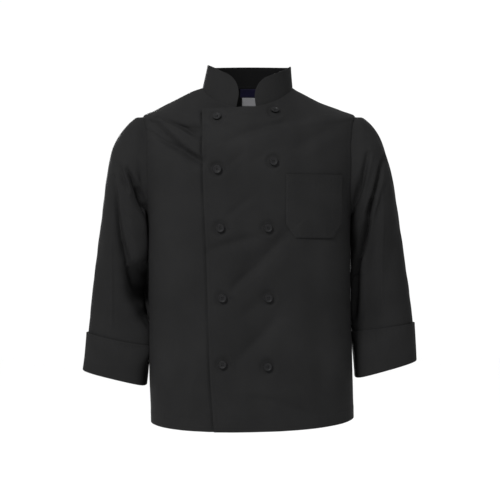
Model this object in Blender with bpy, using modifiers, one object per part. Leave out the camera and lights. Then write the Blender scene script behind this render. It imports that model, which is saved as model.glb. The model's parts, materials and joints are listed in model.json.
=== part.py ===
"""Chef jacket: long sleeved, double-breasted, with a stand collar and turned-back cuffs.

The jacket hangs filled out, as on a wearer, and is hollow. Units are metres and +Z is up.
The front faces -Y, and +X is the wearer's left. The origin is the middle of the neck
opening, at the height of the seam where the collar meets the shoulders.

The body of the jacket is one surface of stacked rings, from the hem up to the neck. A place
on it is a level (metres up the centre front from the hem) and an angle (0 at the wearer's
left side and shoulder seam, 90 degrees at centre front, 270 at centre back). Fronts, back,
collar, pocket, labels and buttons are all taken from that surface. Sleeves are lofted from
the armhole down to the wrist, and each cuff is folded round a sleeve's end.
"""
import math

import bmesh
import bpy
import numpy as np
from mathutils import Matrix

GAP = 0.0003                 # between pieces that are sewn together
SEAM_GAP = 0.0005            # each side of a seam at the outer face, so the inner faces clear too
CLOTH = 0.0017               # one layer of twill with its turned edge
COLLAR_CLOTH = 0.0026        # two layers and an interlining
CUFF_CLOTH = 0.0018
POCKET_CLOTH = 0.0016
LABEL_CLOTH = 0.0010
LAP_GAP = 0.0022             # air between the two fronts where they lap
LAP_SLACK = 0.7              # more air under a fold, as a share of its height

LOW_ROWS = 18                # panel rows from the hem to the underarm
ARMHOLE_ROWS = 11            # from the underarm to the shoulder tip, shared with the sleeve
SHOULDER_ROWS = 5            # from the shoulder tip to the neck
FRONT_LEFT_COLUMNS = 18
FRONT_RIGHT_COLUMNS = 15
BACK_COLUMNS = 20
SLEEVE_ROWS = 21
COLLAR_COLUMNS = 30
POCKET_COLUMNS = 8
POCKET_ROWS = 10
LABEL_COLUMNS = 6
LABEL_ROWS = 3
BUTTON_SEGMENTS = 12

UNDERARM_LEVEL = 0.455
SHOULDER_LEVEL = 0.665
NECK_LEVEL = 0.800
ARMHOLE_FRONT = 0.072        # how far the armhole reaches in front of the shoulder seam
ARMHOLE_BACK = 0.070
SLEEVE_INSET = 0.0004        # the sleeve's first ring lies this far inside the armhole

COLLAR_HEIGHT = 0.046
COLLAR_RAISES = (0.0155, 0.012)      # how much taller the band is at its right and left end
COLLAR_RAISE_REACHES = (0.19, 0.14)  # over what length each of them fades
COLLAR_END_RUN = 0.062       # how long and how tall the rounding of each end is
COLLAR_END_RISE = 0.040
COLLAR_END_LEFT = 0.015      # x of the two front ends at the neck seam
COLLAR_END_RIGHT = -0.027
COLLAR_SHARES = (0.0, 0.3, 0.5, 0.68, 0.83, 0.94, 1.0)   # heights of its rows, closer at the top
COLLAR_LEAN = 3.0            # degrees that the band leans in, and how many more at each side
COLLAR_LEAN_LEFT = 1.5
COLLAR_LEAN_RIGHT = 9.5
COLLAR_HALF_WIDTH = 0.1
COLLAR_SAMPLES = 400         # fine points along the neck seam

CUFF_LAP = 0.0016            # slack between the sleeve and the turned-back cuff
CUFF_ROWS = np.array((0.775, 0.850, 0.925, 0.975, 1.0))   # places down the sleeve: top to end
CUFF_BENDS = (45, 90, 135)   # degrees round the fold at the cuff's end

# Where the neckline runs on past a collar end, its height and its fall for each metre.
NECKLINE_END_Z = -0.0475
NECKLINE_FALL = 0.045

# The under panel lies inside the over panel from here, over this distance and this angle.
TUCK_START_X = -0.165
TUCK_WIDTH = 0.055
TUCK_ANGLE = 0.55

BUTTON_RADIUS = 0.0104
BUTTON_THICKNESS = 0.0034
BUTTON_SEAT = 0.0005         # from the panel to the button's flat back
HOLE_RADIUS = 0.0011
HOLE_SPREAD = 0.0024
HOLE_SEGMENTS = 6

POCKET_LEFT = 0.078          # edges of the chest pocket, seen square on
POCKET_RIGHT = 0.199
POCKET_TOP = -0.196
POCKET_BOTTOM = -0.331
POCKET_MITRE_WIDTH = 0.020
POCKET_MITRE_HEIGHT = 0.029
POCKET_SEAT = 0.0012         # from the panel to the pocket's back

BUTTON_CALM = 0.021          # folds die away this near to a button,
SEAM_CALM = 0.03             # this near to a seam,
SLEEVE_CALM = 0.12           # over this share of the sleeve from the armhole down,
CUFF_CALM = 0.08             # and over this share above the cuff
CUFF_CLEAR = 0.02            # where no fold reaches the cuff
ARMHOLE_CALM_WIDTH = 0.115   # half width of the calm cloth round an armhole,
ARMHOLE_FADE_FRONT = 0.25    # and how slowly folds come back, as a share of that
ARMHOLE_FADE_BACK = 0.6
RIDGE_PLACE = 1.7            # a fold's ridge lies this many widths beside its trough
FOLD_STEPS = 24              # pieces that a fold's path is cut into
FOLD_END = 0.08              # how far into its sine fade a fold starts
FOLD_FADE = 0.6              # power of that fade
BISECTIONS = 40              # halvings when a height is looked up on the surface


def table(columns, *rows):
    """One array for each named column of a table."""
    return {name: np.array(values, float) for name, values in zip(columns.split(), zip(*rows))}


# The rings of the body. square is the superellipse exponent, sag shapes how the ring drops
# from the side to centre front and centre back, and tilt lowers the wearer's right side.
RINGS = table(
    "level half_width centre_x front back z_side z_front z_back square sag tilt",
    (0.000, 0.2225, 0.0075, 0.134, 0.117, -0.726, -0.7405, -0.736, 2.4, 1.6, 0.022),   # hem
    (0.120, 0.2232, 0.0040, 0.134, 0.112, -0.612, -0.6200, -0.615, 2.4, 1.6, 0.012),   # hip
    (0.290, 0.2212, 0.0012, 0.133, 0.099, -0.446, -0.4500, -0.446, 2.5, 1.6, 0),   # waist
    (0.455, 0.2230, 0.0000, 0.136, 0.113, -0.285, -0.2870, -0.280, 2.6, 1.6, 0),   # underarm
    (0.570, 0.2395, 0.0000, 0.134, 0.118, -0.165, -0.1760, -0.166, 2.6, 1.6, 0),   # chest
    (0.620, 0.2385, 0.0000, 0.130, 0.116, -0.114, -0.1310, -0.123, 2.3, 1.5, 0),
    (0.665, 0.2325, 0.0000, 0.121, 0.109, -0.064, -0.0960, -0.083, 1.95, 1.25, 0),  # shoulder tip
    (0.700, 0.2030, -0.0025, 0.113, 0.103, -0.049, -0.0790, -0.054, 2.0, 1.2, 0),
    (0.735, 0.1620, -0.0090, 0.103, 0.095, -0.031, -0.0660, -0.029, 2.05, 1.3, 0),
    (0.775, 0.1180, -0.0085, 0.0885, 0.0825, -0.0085, -0.0545, -0.004, 2.1, 1.5, 0),
    (0.800, 0.0990, -0.0033, 0.080, 0.075, 0.000, -0.0475, 0.008, 2.1, 1.6, 0),    # neck
)

# The over panel's free edge, by height.
FREE_EDGE = table("z x", (-0.740, -0.0737), (-0.600, -0.0830), (-0.386, -0.0895),
                  (-0.170, -0.0980), (-0.050, -0.1000))

# Folds of the front, seen square on: two ends, how far the middle bows to the left of the
# way from the first end to the second, half width, depth, and the ridge beside the trough.
FRONT_FOLDS = table(
    "x1 z1 x2 z2 bow width depth ridge",
    (-0.203, -0.081, -0.100, -0.169, -0.009, 0.014, 0.0060, 0.5),    # right shoulder
    (-0.045, -0.124, 0.138, -0.068, 0.008, 0.016, 0.0050, -0.4),     # across the chest
    (0.102, -0.140, 0.179, -0.095, 0.003, 0.014, 0.0030, -0.4),
    (-0.081, -0.357, 0.023, -0.329, 0.004, 0.015, 0.0035, 0.3),
    (-0.045, -0.449, 0.075, -0.328, 0.004, 0.020, 0.0060, -0.5),     # waist, drawn to the buttons
    (-0.032, -0.594, 0.059, -0.497, -0.003, 0.020, 0.0045, -0.4),
    (0.014, -0.669, 0.130, -0.708, 0.006, 0.016, 0.0035, 0.4),
    (-0.152, -0.600, -0.159, -0.735, 0.004, 0.022, 0.0050, 0.3),     # flutes over the hem
    (0.140, -0.490, 0.166, -0.690, -0.004, 0.024, 0.0050, -0.3),
)
BACK_FOLDS = table(
    "x1 z1 x2 z2 bow width depth ridge",
    (-0.190, -0.150, -0.080, -0.330, 0.010, 0.020, 0.0055, 0.4),     # shoulder blades
    (0.185, -0.130, 0.095, -0.350, -0.012, 0.021, 0.0060, -0.4),
    (-0.130, -0.400, 0.020, -0.450, 0.010, 0.024, 0.0045, 0.4),      # small of the back
    (0.150, -0.420, 0.000, -0.500, -0.008, 0.025, 0.0050, -0.4),
    (-0.100, -0.560, -0.120, -0.725, 0.005, 0.026, 0.0060, 0.3),     # flutes over the hem
    (0.060, -0.540, 0.078, -0.725, -0.006, 0.024, 0.0055, -0.3),
)
# Folds of each sleeve, seen square on from the front (face -1) or from the back (face 1).
SLEEVE_LEFT_FOLDS = table(
    "x1 z1 x2 z2 bow width depth ridge face",
    (0.292, -0.164, 0.237, -0.406, 0.006, 0.014, 0.0055, 0.4, -1),
    (0.268, -0.150, 0.222, -0.285, 0.003, 0.013, 0.0045, 0.4, -1),
    (0.300, -0.430, 0.330, -0.300, 0.003, 0.014, 0.0035, -0.3, -1),
    (0.235, -0.300, 0.300, -0.190, 0.006, 0.015, 0.0050, -0.4, 1),
    (0.240, -0.460, 0.320, -0.400, 0.004, 0.015, 0.0040, 0.3, 1),
)
SLEEVE_RIGHT_FOLDS = table(
    "x1 z1 x2 z2 bow width depth ridge face",
    (-0.286, -0.226, -0.230, -0.499, -0.012, 0.015, 0.0070, 0.4, -1),
    (-0.265, -0.190, -0.222, -0.270, -0.003, 0.013, 0.0055, 0.4, -1),
    (-0.310, -0.470, -0.330, -0.330, 0.003, 0.014, 0.0030, 0.3, -1),
    (-0.232, -0.310, -0.300, -0.180, -0.006, 0.015, 0.0055, 0.4, 1),
    (-0.238, -0.480, -0.322, -0.420, -0.004, 0.015, 0.0040, -0.3, 1),
)

# Sections of each sleeve below the armhole, seen from the front: its outer and its inner
# point (x measured from the middle), and then its centre in y and how deep it is each way
# from there. row is how far down the sleeve the section lies.
SLEEVE_LEFT = table(
    "row outer_x outer_z inner_x inner_z centre_y half_depth",
    (0.022, 0.2450, -0.0645, 0.2248, -0.2872, 0.001, 0.0742),
    (0.055, 0.2605, -0.0735, 0.2262, -0.2900, 0.002, 0.0780),
    (0.110, 0.2830, -0.1000, 0.2270, -0.2960, 0.004, 0.0830),
    (0.190, 0.3012, -0.1450, 0.2265, -0.3060, 0.010, 0.0860),
    (0.280, 0.3160, -0.2000, 0.2250, -0.3200, 0.016, 0.0845),
    (0.370, 0.3265, -0.2600, 0.2230, -0.3420, 0.022, 0.0810),
    (0.460, 0.3358, -0.3200, 0.2222, -0.3740, 0.026, 0.0765),
    (0.560, 0.3455, -0.3850, 0.2222, -0.4160, 0.028, 0.0710),
    (0.670, 0.3545, -0.4500, 0.2240, -0.4660, 0.027, 0.0650),
    (0.780, 0.3625, -0.5180, 0.2290, -0.5380, 0.024, 0.0585),
    (0.900, 0.3655, -0.5700, 0.2340, -0.5980, 0.018, 0.0520),
    (1.000, 0.3665, -0.5965, 0.2365, -0.6330, 0.014, 0.0490),
)
SLEEVE_RIGHT = table(
    "row outer_x outer_z inner_x inner_z centre_y half_depth",
    (0.022, 0.2440, -0.0645, 0.2248, -0.2872, 0.001, 0.0742),
    (0.055, 0.2590, -0.0735, 0.2262, -0.2900, 0.002, 0.0780),
    (0.110, 0.2822, -0.1000, 0.2270, -0.2960, 0.004, 0.0830),
    (0.190, 0.3035, -0.1450, 0.2265, -0.3060, 0.010, 0.0860),
    (0.280, 0.3138, -0.2000, 0.2250, -0.3200, 0.016, 0.0845),
    (0.370, 0.3222, -0.2650, 0.2228, -0.3460, 0.022, 0.0810),
    (0.460, 0.3315, -0.3300, 0.2212, -0.3830, 0.026, 0.0765),
    (0.560, 0.3405, -0.3980, 0.2203, -0.4300, 0.028, 0.0710),
    (0.670, 0.3480, -0.4650, 0.2205, -0.4880, 0.027, 0.0650),
    (0.780, 0.3555, -0.5400, 0.2230, -0.5700, 0.024, 0.0585),
    (0.900, 0.3605, -0.5950, 0.2262, -0.6250, 0.018, 0.0520),
    (1.000, 0.3635, -0.6175, 0.2285, -0.6500, 0.014, 0.0490),
)

# Centres of the buttons, seen square on. side is 1 for the wearer's left column.
BUTTONS = table(
    "x z side",
    (0.0555, -0.0578, 1), (0.0520, -0.1690, 1), (0.0407, -0.3098, 1),
    (0.0413, -0.4580, 1), (0.0398, -0.6024, 1),
    (-0.0680, -0.0720, -1), (-0.0667, -0.1857, -1), (-0.0601, -0.3098, -1),
    (-0.0559, -0.4580, -1), (-0.0559, -0.5978, -1),
)

# name, half width, distance down the back from the neck seam to its top and to its bottom,
# and how far it stands off the back panel's inner side
LABELS = (("label_woven", 0.0200, 0.0010, 0.0230, 0.0008),
          ("label_care", 0.0155, 0.0236, 0.0440, 0.0010))

# Profile of a button, from its middle out: shares of its radius and of its thickness.
BUTTON_PROFILE = ((0.0, 0.62), (0.58, 0.62), (0.78, 1.0), (1.0, 0.55), (0.86, 0.0), (0.0, 0.0))

# Finishes: colour, roughness.
BLACK_TWILL = ((0.020, 0.020, 0.021), 0.85)
BLACK_PLASTIC = ((0.012, 0.012, 0.013), 0.32)
NAVY_TAPE = ((0.006, 0.006, 0.018), 0.70)
PALE_TAPE = ((0.42, 0.42, 0.44), 0.60)


def smooth(x, xs, ys):
    """Smooth curve through a table's column that never overshoots its rows."""
    step = np.diff(xs)
    slope = np.diff(ys) / step
    product = slope[:-1] * slope[1:]
    total = slope[:-1] + slope[1:]
    inner = np.where(product > 0, 2 * product / np.where(product > 0, total, 1), 0)
    tangent = np.concatenate(([slope[0]], inner, [slope[-1]]))
    x = np.clip(x, xs[0], xs[-1])
    i = np.clip(np.searchsorted(xs, x, side="right") - 1, 0, len(step) - 1)
    t = (x - xs[i]) / step[i]
    rise = ys[i] * (1 + 2 * t) * (1 - t) ** 2 + ys[i + 1] * t * t * (3 - 2 * t)
    bend = step[i] * (tangent[i] * t * (1 - t) ** 2 - tangent[i + 1] * t * t * (1 - t))
    return rise + bend


def ease(x):
    """0 below 0, 1 above 1, and a smooth step between."""
    x = np.clip(x, 0.0, 1.0)
    return x * x * (3 - 2 * x)


def unit(vectors):
    """The same directions, each of length 1."""
    return vectors / np.linalg.norm(vectors, axis=-1, keepdims=True)


def run_length(points):
    """Distance along a line of points, from its first point to each."""
    return np.concatenate(([0.0], np.cumsum(np.linalg.norm(np.diff(points, axis=0), axis=1))))


def ring(level):
    """Every column of the ring table at a level."""
    return {name: smooth(level, RINGS["level"], RINGS[name]) for name in RINGS}


def torso(level, angle):
    """Point of the body surface at a level and an angle."""
    level, angle = np.broadcast_arrays(level, angle)
    here = ring(level)
    cosine, sine = np.cos(angle), np.sin(angle)
    reach = (np.abs(cosine) ** here["square"] + np.abs(sine) ** here["square"])
    reach = reach ** (-1 / here["square"])
    in_front = sine > 0
    depth = np.where(in_front, here["front"], here["back"])
    z_middle = np.where(in_front, here["z_front"], here["z_back"])
    drop = np.abs(sine * reach) ** here["sag"]
    x = here["centre_x"] + here["half_width"] * cosine * reach
    z = here["z_side"] + (z_middle - here["z_side"]) * drop + here["tilt"] * x
    return np.stack((x, -depth * sine * reach, z), -1)


def torso_normal(level, angle):
    """Outward unit normal of the body surface."""
    nudge = 1e-4
    along = torso(level, angle + nudge) - torso(level, angle - nudge)
    up = torso(level + nudge, angle) - torso(level - nudge, angle)
    return unit(np.cross(up, along))


def angle_at_x(level, x):
    """Angle of the place on the front of a ring with this x."""
    here = ring(level)
    across = np.clip((x - here["centre_x"]) / here["half_width"], -1, 1)
    forward = (1 - np.abs(across) ** here["square"]) ** (1 / here["square"])
    return np.arctan2(forward, across)


def level_at(x, z):
    """Level of the place on the front with this x and z."""
    low = np.zeros(np.broadcast(x, z).shape)
    high = low + NECK_LEVEL
    for _ in range(BISECTIONS):
        middle = (low + high) / 2
        below = torso(middle, angle_at_x(middle, x))[..., 2] < z
        low, high = np.where(below, middle, low), np.where(below, high, middle)
    return (low + high) / 2


def fold_height(folds, x, z):
    """How far the cloth stands out of the smooth surface, summed over a fold table."""
    total = np.zeros(np.broadcast(x, z).shape)
    steps = np.linspace(0, 1, FOLD_STEPS + 1)
    for n in range(len(folds["x1"])):
        run = folds["x2"][n] - folds["x1"][n]
        rise = folds["z2"][n] - folds["z1"][n]
        length = math.hypot(run, rise)
        bow = folds["bow"][n] * 4 * steps * (1 - steps)
        path_x = folds["x1"][n] + run * steps - rise / length * bow
        path_z = folds["z1"][n] + rise * steps + run / length * bow
        off_x = x[..., None] - path_x
        off_z = z[..., None] - path_z
        distance = np.hypot(off_x, off_z)
        nearest = distance.argmin(-1)[..., None]
        side = np.take_along_axis(off_z * run - off_x * rise, nearest, -1)[..., 0]
        distance = np.take_along_axis(distance, nearest, -1)[..., 0]
        signed = distance * np.sign(side) / folds["width"][n]
        ridge = folds["ridge"][n]
        beside = np.abs(ridge) * np.exp(-(signed - RIDGE_PLACE * np.sign(ridge)) ** 2)
        along = FOLD_END + (1 - 2 * FOLD_END) * nearest[..., 0] / FOLD_STEPS
        fade = np.sin(np.pi * along) ** FOLD_FADE
        total += folds["depth"][n] * fade * (beside - np.exp(-signed ** 2))
    return total


def calm(x, z):
    """1 on open cloth, falling to 0 at each button."""
    away = np.hypot(x[..., None] - BUTTONS["x"], z[..., None] - BUTTONS["z"]).min(-1)
    return ease(away / BUTTON_CALM - BUTTON_RADIUS / BUTTON_CALM)


def armhole_nearness(level, angle, fade):
    """1 along the armholes' edges, falling to 0 over a share of their size."""
    from_side = np.abs(np.mod(angle + np.pi / 2, np.pi) - np.pi / 2)
    middle = (SHOULDER_LEVEL + UNDERARM_LEVEL) / 2
    half = (SHOULDER_LEVEL - UNDERARM_LEVEL) / 2
    up = (level - middle) / half
    out = from_side * ring(level)["half_width"] / ARMHOLE_CALM_WIDTH
    return 1 - ease((np.hypot(up, out) - 1.0) / fade)


def front_surface(level, angle, offset=0.0, tuck=0.0):
    """Point on the folded front, moved out along its normal by an offset.

    tuck is how far the place is tucked behind the over panel, whose folds it follows.
    """
    base = torso(level, angle)
    from_seam = np.minimum(angle, np.pi - angle) * ring(level)["front"]
    height = fold_height(FRONT_FOLDS, base[..., 0], base[..., 2])
    height = height * calm(base[..., 0], base[..., 2]) * ease(from_seam / SEAM_CALM)
    height = height * ease((NECK_LEVEL - level) / SEAM_CALM)
    height = height * (1 - armhole_nearness(level, angle, ARMHOLE_FADE_FRONT))
    height = height - tuck * (CLOTH + LAP_GAP + LAP_SLACK * np.abs(height))
    return base + torso_normal(level, angle) * (height + offset)[..., None]


def back_surface(level, angle, offset=0.0):
    """Point on the folded back, moved out along its normal by an offset."""
    base = torso(level, angle)
    from_seam = np.minimum(angle - np.pi, 2 * np.pi - angle) * ring(level)["back"]
    height = fold_height(BACK_FOLDS, base[..., 0], base[..., 2])
    height = height * ease(from_seam / SEAM_CALM) * ease((NECK_LEVEL - level) / SEAM_CALM)
    height = height * (1 - armhole_nearness(level, angle, ARMHOLE_FADE_BACK))
    return base + torso_normal(level, angle) * (height + offset)[..., None]


def armhole(way, depth, inset=0.0):
    """Level and angle from the side seam of an armhole's edge.

    way runs from 0 at the shoulder tip to 1 at the underarm; inset shrinks the opening.
    """
    middle = (SHOULDER_LEVEL + UNDERARM_LEVEL) / 2
    half = (SHOULDER_LEVEL - UNDERARM_LEVEL) / 2 - inset
    level = middle + half * np.cos(np.pi * way)
    here = ring(level)
    wall = np.where(depth > 0, here["front"], here["back"])
    reach = (np.abs(depth) - inset) * np.sin(np.pi * way) / wall
    across = (1 - reach ** here["square"]) ** (1 / here["square"])
    return level, np.arctan2(reach, across)


def panel_rows():
    """Levels of a panel's rows, and how far round the armhole each one is (or nan)."""
    low = np.linspace(0, UNDERARM_LEVEL, LOW_ROWS + 1)[:-1]
    way = np.linspace(1, 0, ARMHOLE_ROWS + 1)
    open_levels = armhole(way, ARMHOLE_FRONT)[0]
    high = np.linspace(SHOULDER_LEVEL, NECK_LEVEL, SHOULDER_ROWS + 1)[1:]
    levels = np.concatenate((low, open_levels, high))
    ways = np.concatenate((low * np.nan, way, high * np.nan))
    return levels, ways


def side_edge(levels, ways, depth):
    """Angle from the side seam of a panel's edge, row by row."""
    half_gap = SEAM_GAP / ring(levels)["front"]
    edge = armhole(np.nan_to_num(ways), depth)[1]
    return np.where(np.isnan(ways), half_gap, np.maximum(edge, half_gap))


def neckline_limit(x, end_x):
    """Height of a front's top edge where it runs on past the collar's end, else no limit."""
    past = (end_x - x) * np.sign(end_x)
    return np.where(past > 0, NECKLINE_END_Z - NECKLINE_FALL * past, np.inf)


def front_panel(columns, side):
    """Levels and angles of one front: side is 1 for the wearer's left, -1 for the right."""
    levels, ways = panel_rows()
    outer = side_edge(levels, ways, ARMHOLE_FRONT)
    end_x = COLLAR_END_LEFT if side > 0 else COLLAR_END_RIGHT
    reach = np.linspace(0, 1, columns + 1)

    def angles(at_levels, outer_angle, across):
        z = ring(at_levels)["z_front"]
        edge_x = side * smooth(z, FREE_EDGE["z"], FREE_EDGE["x"])
        edge = angle_at_x(at_levels, edge_x)
        away = outer_angle if side > 0 else np.pi - outer_angle
        return edge + (away - edge) * across

    low = np.full(columns + 1, SHOULDER_LEVEL)
    high = np.full(columns + 1, NECK_LEVEL)
    for _ in range(BISECTIONS):
        middle = (low + high) / 2
        place = torso(middle, angles(middle, outer[-1], reach))
        below = place[:, 2] < neckline_limit(place[:, 0], end_x)
        low, high = np.where(below, middle, low), np.where(below, high, middle)
    top = (low + high) / 2
    share = np.clip((levels - SHOULDER_LEVEL) / (NECK_LEVEL - SHOULDER_LEVEL), 0, 1)
    level_grid = levels[:, None] + share[:, None] * (top - NECK_LEVEL)
    return level_grid, angles(level_grid, outer[:, None], reach)


def tucked(x, angle):
    """1 where the under panel lies inside the over panel, falling to 0 towards its seams."""
    return ease((x - TUCK_START_X) / TUCK_WIDTH) * ease((np.pi - angle) / TUCK_ANGLE)


def sleeve_tables(side):
    """Sections and folds of a sleeve: side is 1 for the wearer's left, -1 for the right."""
    if side > 0:
        return SLEEVE_LEFT, SLEEVE_LEFT_FOLDS
    return SLEEVE_RIGHT, SLEEVE_RIGHT_FOLDS


def sleeve_sections(side, around):
    """Rings of points down one sleeve, the armhole first: rows, points around, xyz."""
    turn = np.linspace(0, 2 * np.pi, around, endpoint=False)
    in_front = turn <= np.pi
    way = np.where(in_front, turn, 2 * np.pi - turn) / np.pi
    level_front, angle_front = armhole(way, ARMHOLE_FRONT, SLEEVE_INSET)
    level_back, angle_back = armhole(way, -ARMHOLE_BACK, SLEEVE_INSET)
    level = np.where(in_front, level_front, level_back)
    angle = np.where(in_front, angle_front, -angle_back)
    first = torso(level, angle)
    first[:, 0] = first[:, 0] + SLEEVE_INSET
    across = ((1 + np.cos(turn)) / 2)[None, :]
    arm = {name: column[:, None] for name, column in sleeve_tables(side)[0].items()}
    x = arm["inner_x"] + (arm["outer_x"] - arm["inner_x"]) * across
    z = arm["inner_z"] + (arm["outer_z"] - arm["inner_z"]) * across
    y = arm["centre_y"] - arm["half_depth"] * np.sin(turn)
    rings = np.concatenate((first[None], np.stack((x, y, z), -1)))
    rings[..., 0] *= side
    return rings


def facing_out(side, points, down):
    """Outward unit normals round a sleeve, from its rings and the way down it."""
    ahead = np.roll(points, -1, axis=-2) - np.roll(points, 1, axis=-2)
    return unit(side * np.cross(ahead, down))


def sleeve_surface(side, around, rows):
    """Grid of points on a sleeve: rows are places down it, from 0 to 1."""
    sections, folds = sleeve_tables(side)
    rings = sleeve_sections(side, around)
    places = np.concatenate(([0.0], sections["row"]))
    columns = rings.reshape(len(places), -1).T
    grid = np.stack([smooth(rows, places, column) for column in columns], -1)
    grid = grid.reshape(len(rows), around, 3)
    normal = facing_out(side, grid, np.gradient(grid, axis=0))
    height = np.zeros(grid.shape[:2])
    for face in (-1, 1):
        chosen = {name: column[folds["face"] == face] for name, column in folds.items()}
        toward = ease(normal[..., 1] * face * 2)
        height += toward * fold_height(chosen, grid[..., 0], grid[..., 2])
    fade = ease(rows / SLEEVE_CALM) * ease((CUFF_ROWS[0] - CUFF_CLEAR - rows) / CUFF_CALM)
    return grid + normal * (height * fade[:, None])[..., None]


def sheet(name, points, closed=False, flip=False):
    """A quad grid laid through a grid of points; closed joins its last column to its first."""
    if closed:
        points = np.concatenate((points, points[:, :1]), axis=1)
    rows, columns = points.shape[:2]
    mesh = bpy.data.meshes.new(name)
    bm = bmesh.new()
    bmesh.ops.create_grid(bm, x_segments=columns - 1, y_segments=rows - 1, size=1.0)
    bm.verts.ensure_lookup_table()
    for vertex, place in zip(bm.verts, points.reshape(-1, 3)):
        vertex.co = place
    if closed:
        bmesh.ops.remove_doubles(bm, verts=bm.verts, dist=1e-6)
    if flip:
        bmesh.ops.reverse_faces(bm, faces=bm.faces)
    bm.to_mesh(mesh)
    bm.free()
    return mesh


def add_object(name, mesh, finish, collection):
    """A named object with one material, shaded smooth."""
    piece = bpy.data.objects.new(name, mesh)
    mesh.materials.append(finish)
    mesh.shade_smooth()
    collection.objects.link(piece)
    return piece


def add_cloth(name, mesh, thickness, finish, collection, offset=-1.0):
    """A sheet given its wall; offset -1 keeps the sheet as the outer face."""
    wall = add_object(name, mesh, finish, collection).modifiers.new("wall", "SOLIDIFY")
    wall.thickness = thickness
    wall.offset = offset
    wall.use_even_offset = False
    wall.use_rim = True


def material(name, finish):
    """A plain shader of one colour and roughness."""
    colour, roughness = finish
    new = bpy.data.materials.new(name)
    new.use_nodes = True
    shader = new.node_tree.nodes["Principled BSDF"]
    shader.inputs["Base Color"].default_value = (*colour, 1.0)
    shader.inputs["Roughness"].default_value = roughness
    shader.inputs["Metallic"].default_value = 0.0
    new.diffuse_color = (*colour, 1.0)
    return new


def make_fronts(twill, collection):
    """The over panel on the wearer's left, and the under panel tucked behind it."""
    level, angle = front_panel(FRONT_LEFT_COLUMNS, 1)
    mesh = sheet("front_left", front_surface(level, angle))
    add_cloth("front_left", mesh, CLOTH, twill, collection)
    level, angle = front_panel(FRONT_RIGHT_COLUMNS, -1)
    tuck = tucked(torso(level, angle)[..., 0], angle)
    mesh = sheet("front_right", front_surface(level, angle, tuck=tuck), flip=True)
    add_cloth("front_right", mesh, CLOTH, twill, collection)


def make_back(twill, collection):
    """One panel from side seam to side seam, up to both shoulder seams and the neck."""
    levels, ways = panel_rows()
    edge = side_edge(levels, ways, -ARMHOLE_BACK)[:, None]
    across = np.linspace(0, 1, BACK_COLUMNS + 1)
    angle = np.pi + edge + (np.pi - 2 * edge) * across
    level = np.broadcast_to(levels[:, None], angle.shape)
    mesh = sheet("back", back_surface(level, angle), flip=True)
    add_cloth("back", mesh, CLOTH, twill, collection)


def make_sleeve(name, side, twill, collection):
    """A tube from the armhole to the wrist."""
    rows = np.linspace(0, 1, SLEEVE_ROWS + 1)
    points = sleeve_surface(side, 2 * ARMHOLE_ROWS, rows)
    mesh = sheet(name, points, closed=True, flip=side < 0)
    add_cloth(name, mesh, CLOTH, twill, collection)


def make_cuff(name, side, twill, collection):
    """A band outside the sleeve's end that folds under it and returns a little inside."""
    skin = sleeve_surface(side, 2 * ARMHOLE_ROWS, CUFF_ROWS)
    down = unit(skin[-1] - skin[-2])
    normal = facing_out(side, skin[-1], down)
    outside = CUFF_LAP + CUFF_CLOTH / 2
    inside = -(CLOTH + GAP + CUFF_CLOTH / 2)
    radius = (outside - inside) / 2
    # ring of the sleeve, distance out from it, distance past the sleeve's end
    profile = [(0, outside, 0.0), (1, outside, 0.0), (2, outside, 0.0), (-1, outside, 0.0)]
    for turn in np.radians(CUFF_BENDS):
        profile.append((-1, inside + radius * (1 + math.cos(turn)), radius * math.sin(turn)))
    profile += [(-1, inside, 0.0), (-2, inside, 0.0)]
    grid = [skin[n] + normal * out + down * (past + GAP) for n, out, past in profile]
    mesh = sheet(name, np.array(grid), closed=True, flip=side < 0)
    add_cloth(name, mesh, CUFF_CLOTH, twill, collection, offset=0.0)


def end_recess(share, tall):
    """How far a rounded end lies in from the seam's end, at a share of its height."""
    above = max(0.0, 1 - (1 - share) * tall / COLLAR_END_RISE)
    return COLLAR_END_RUN * (1 - math.sqrt(1 - above ** 2))


def make_collar(twill, collection):
    """A band that stands on the sloping neck seam, taller towards its rounded front ends."""
    right_end = angle_at_x(NECK_LEVEL, COLLAR_END_RIGHT)
    left_end = 2 * np.pi + angle_at_x(NECK_LEVEL, COLLAR_END_LEFT)
    angle = np.linspace(right_end, left_end, COLLAR_SAMPLES)
    seam = torso(NECK_LEVEL, np.mod(angle, 2 * np.pi))
    along = unit(np.gradient(seam, axis=0))
    out = unit(np.stack((-along[:, 1], along[:, 0], 0 * along[:, 0]), -1))
    out *= np.sign((out * seam).sum(-1))[:, None]
    up = np.cross(along, out)
    up *= np.sign(up[:, 2])[:, None]
    more = np.where(seam[:, 0] < 0, COLLAR_LEAN_RIGHT, COLLAR_LEAN_LEFT)
    lean = np.radians(COLLAR_LEAN + more * np.abs(seam[:, 0]) / COLLAR_HALF_WIDTH)
    rise = up * np.cos(lean)[:, None] - out * np.sin(lean)[:, None]
    tuck = np.where(angle < np.pi, tucked(seam[:, 0], angle), 0.0)
    seam = seam - out * tuck[:, None] * (CLOTH + LAP_GAP)
    length = run_length(seam)
    height = np.full(COLLAR_SAMPLES, COLLAR_HEIGHT)
    for away, raised, reach in zip((length, length[-1] - length), COLLAR_RAISES,
                                   COLLAR_RAISE_REACHES):
        height += raised * (1 - ease(away / reach))
    grid = []
    for share in COLLAR_SHARES:
        start = end_recess(share, height[0])
        stop = length[-1] - end_recess(share, height[-1])
        places = np.linspace(start, stop, COLLAR_COLUMNS + 1)
        band = seam + rise * (2 * GAP + share * height)[:, None]
        grid.append(np.stack([np.interp(places, length, line) for line in band.T], -1))
    mesh = sheet("collar", np.array(grid), flip=True)
    add_cloth("collar", mesh, COLLAR_CLOTH, twill, collection)


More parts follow.
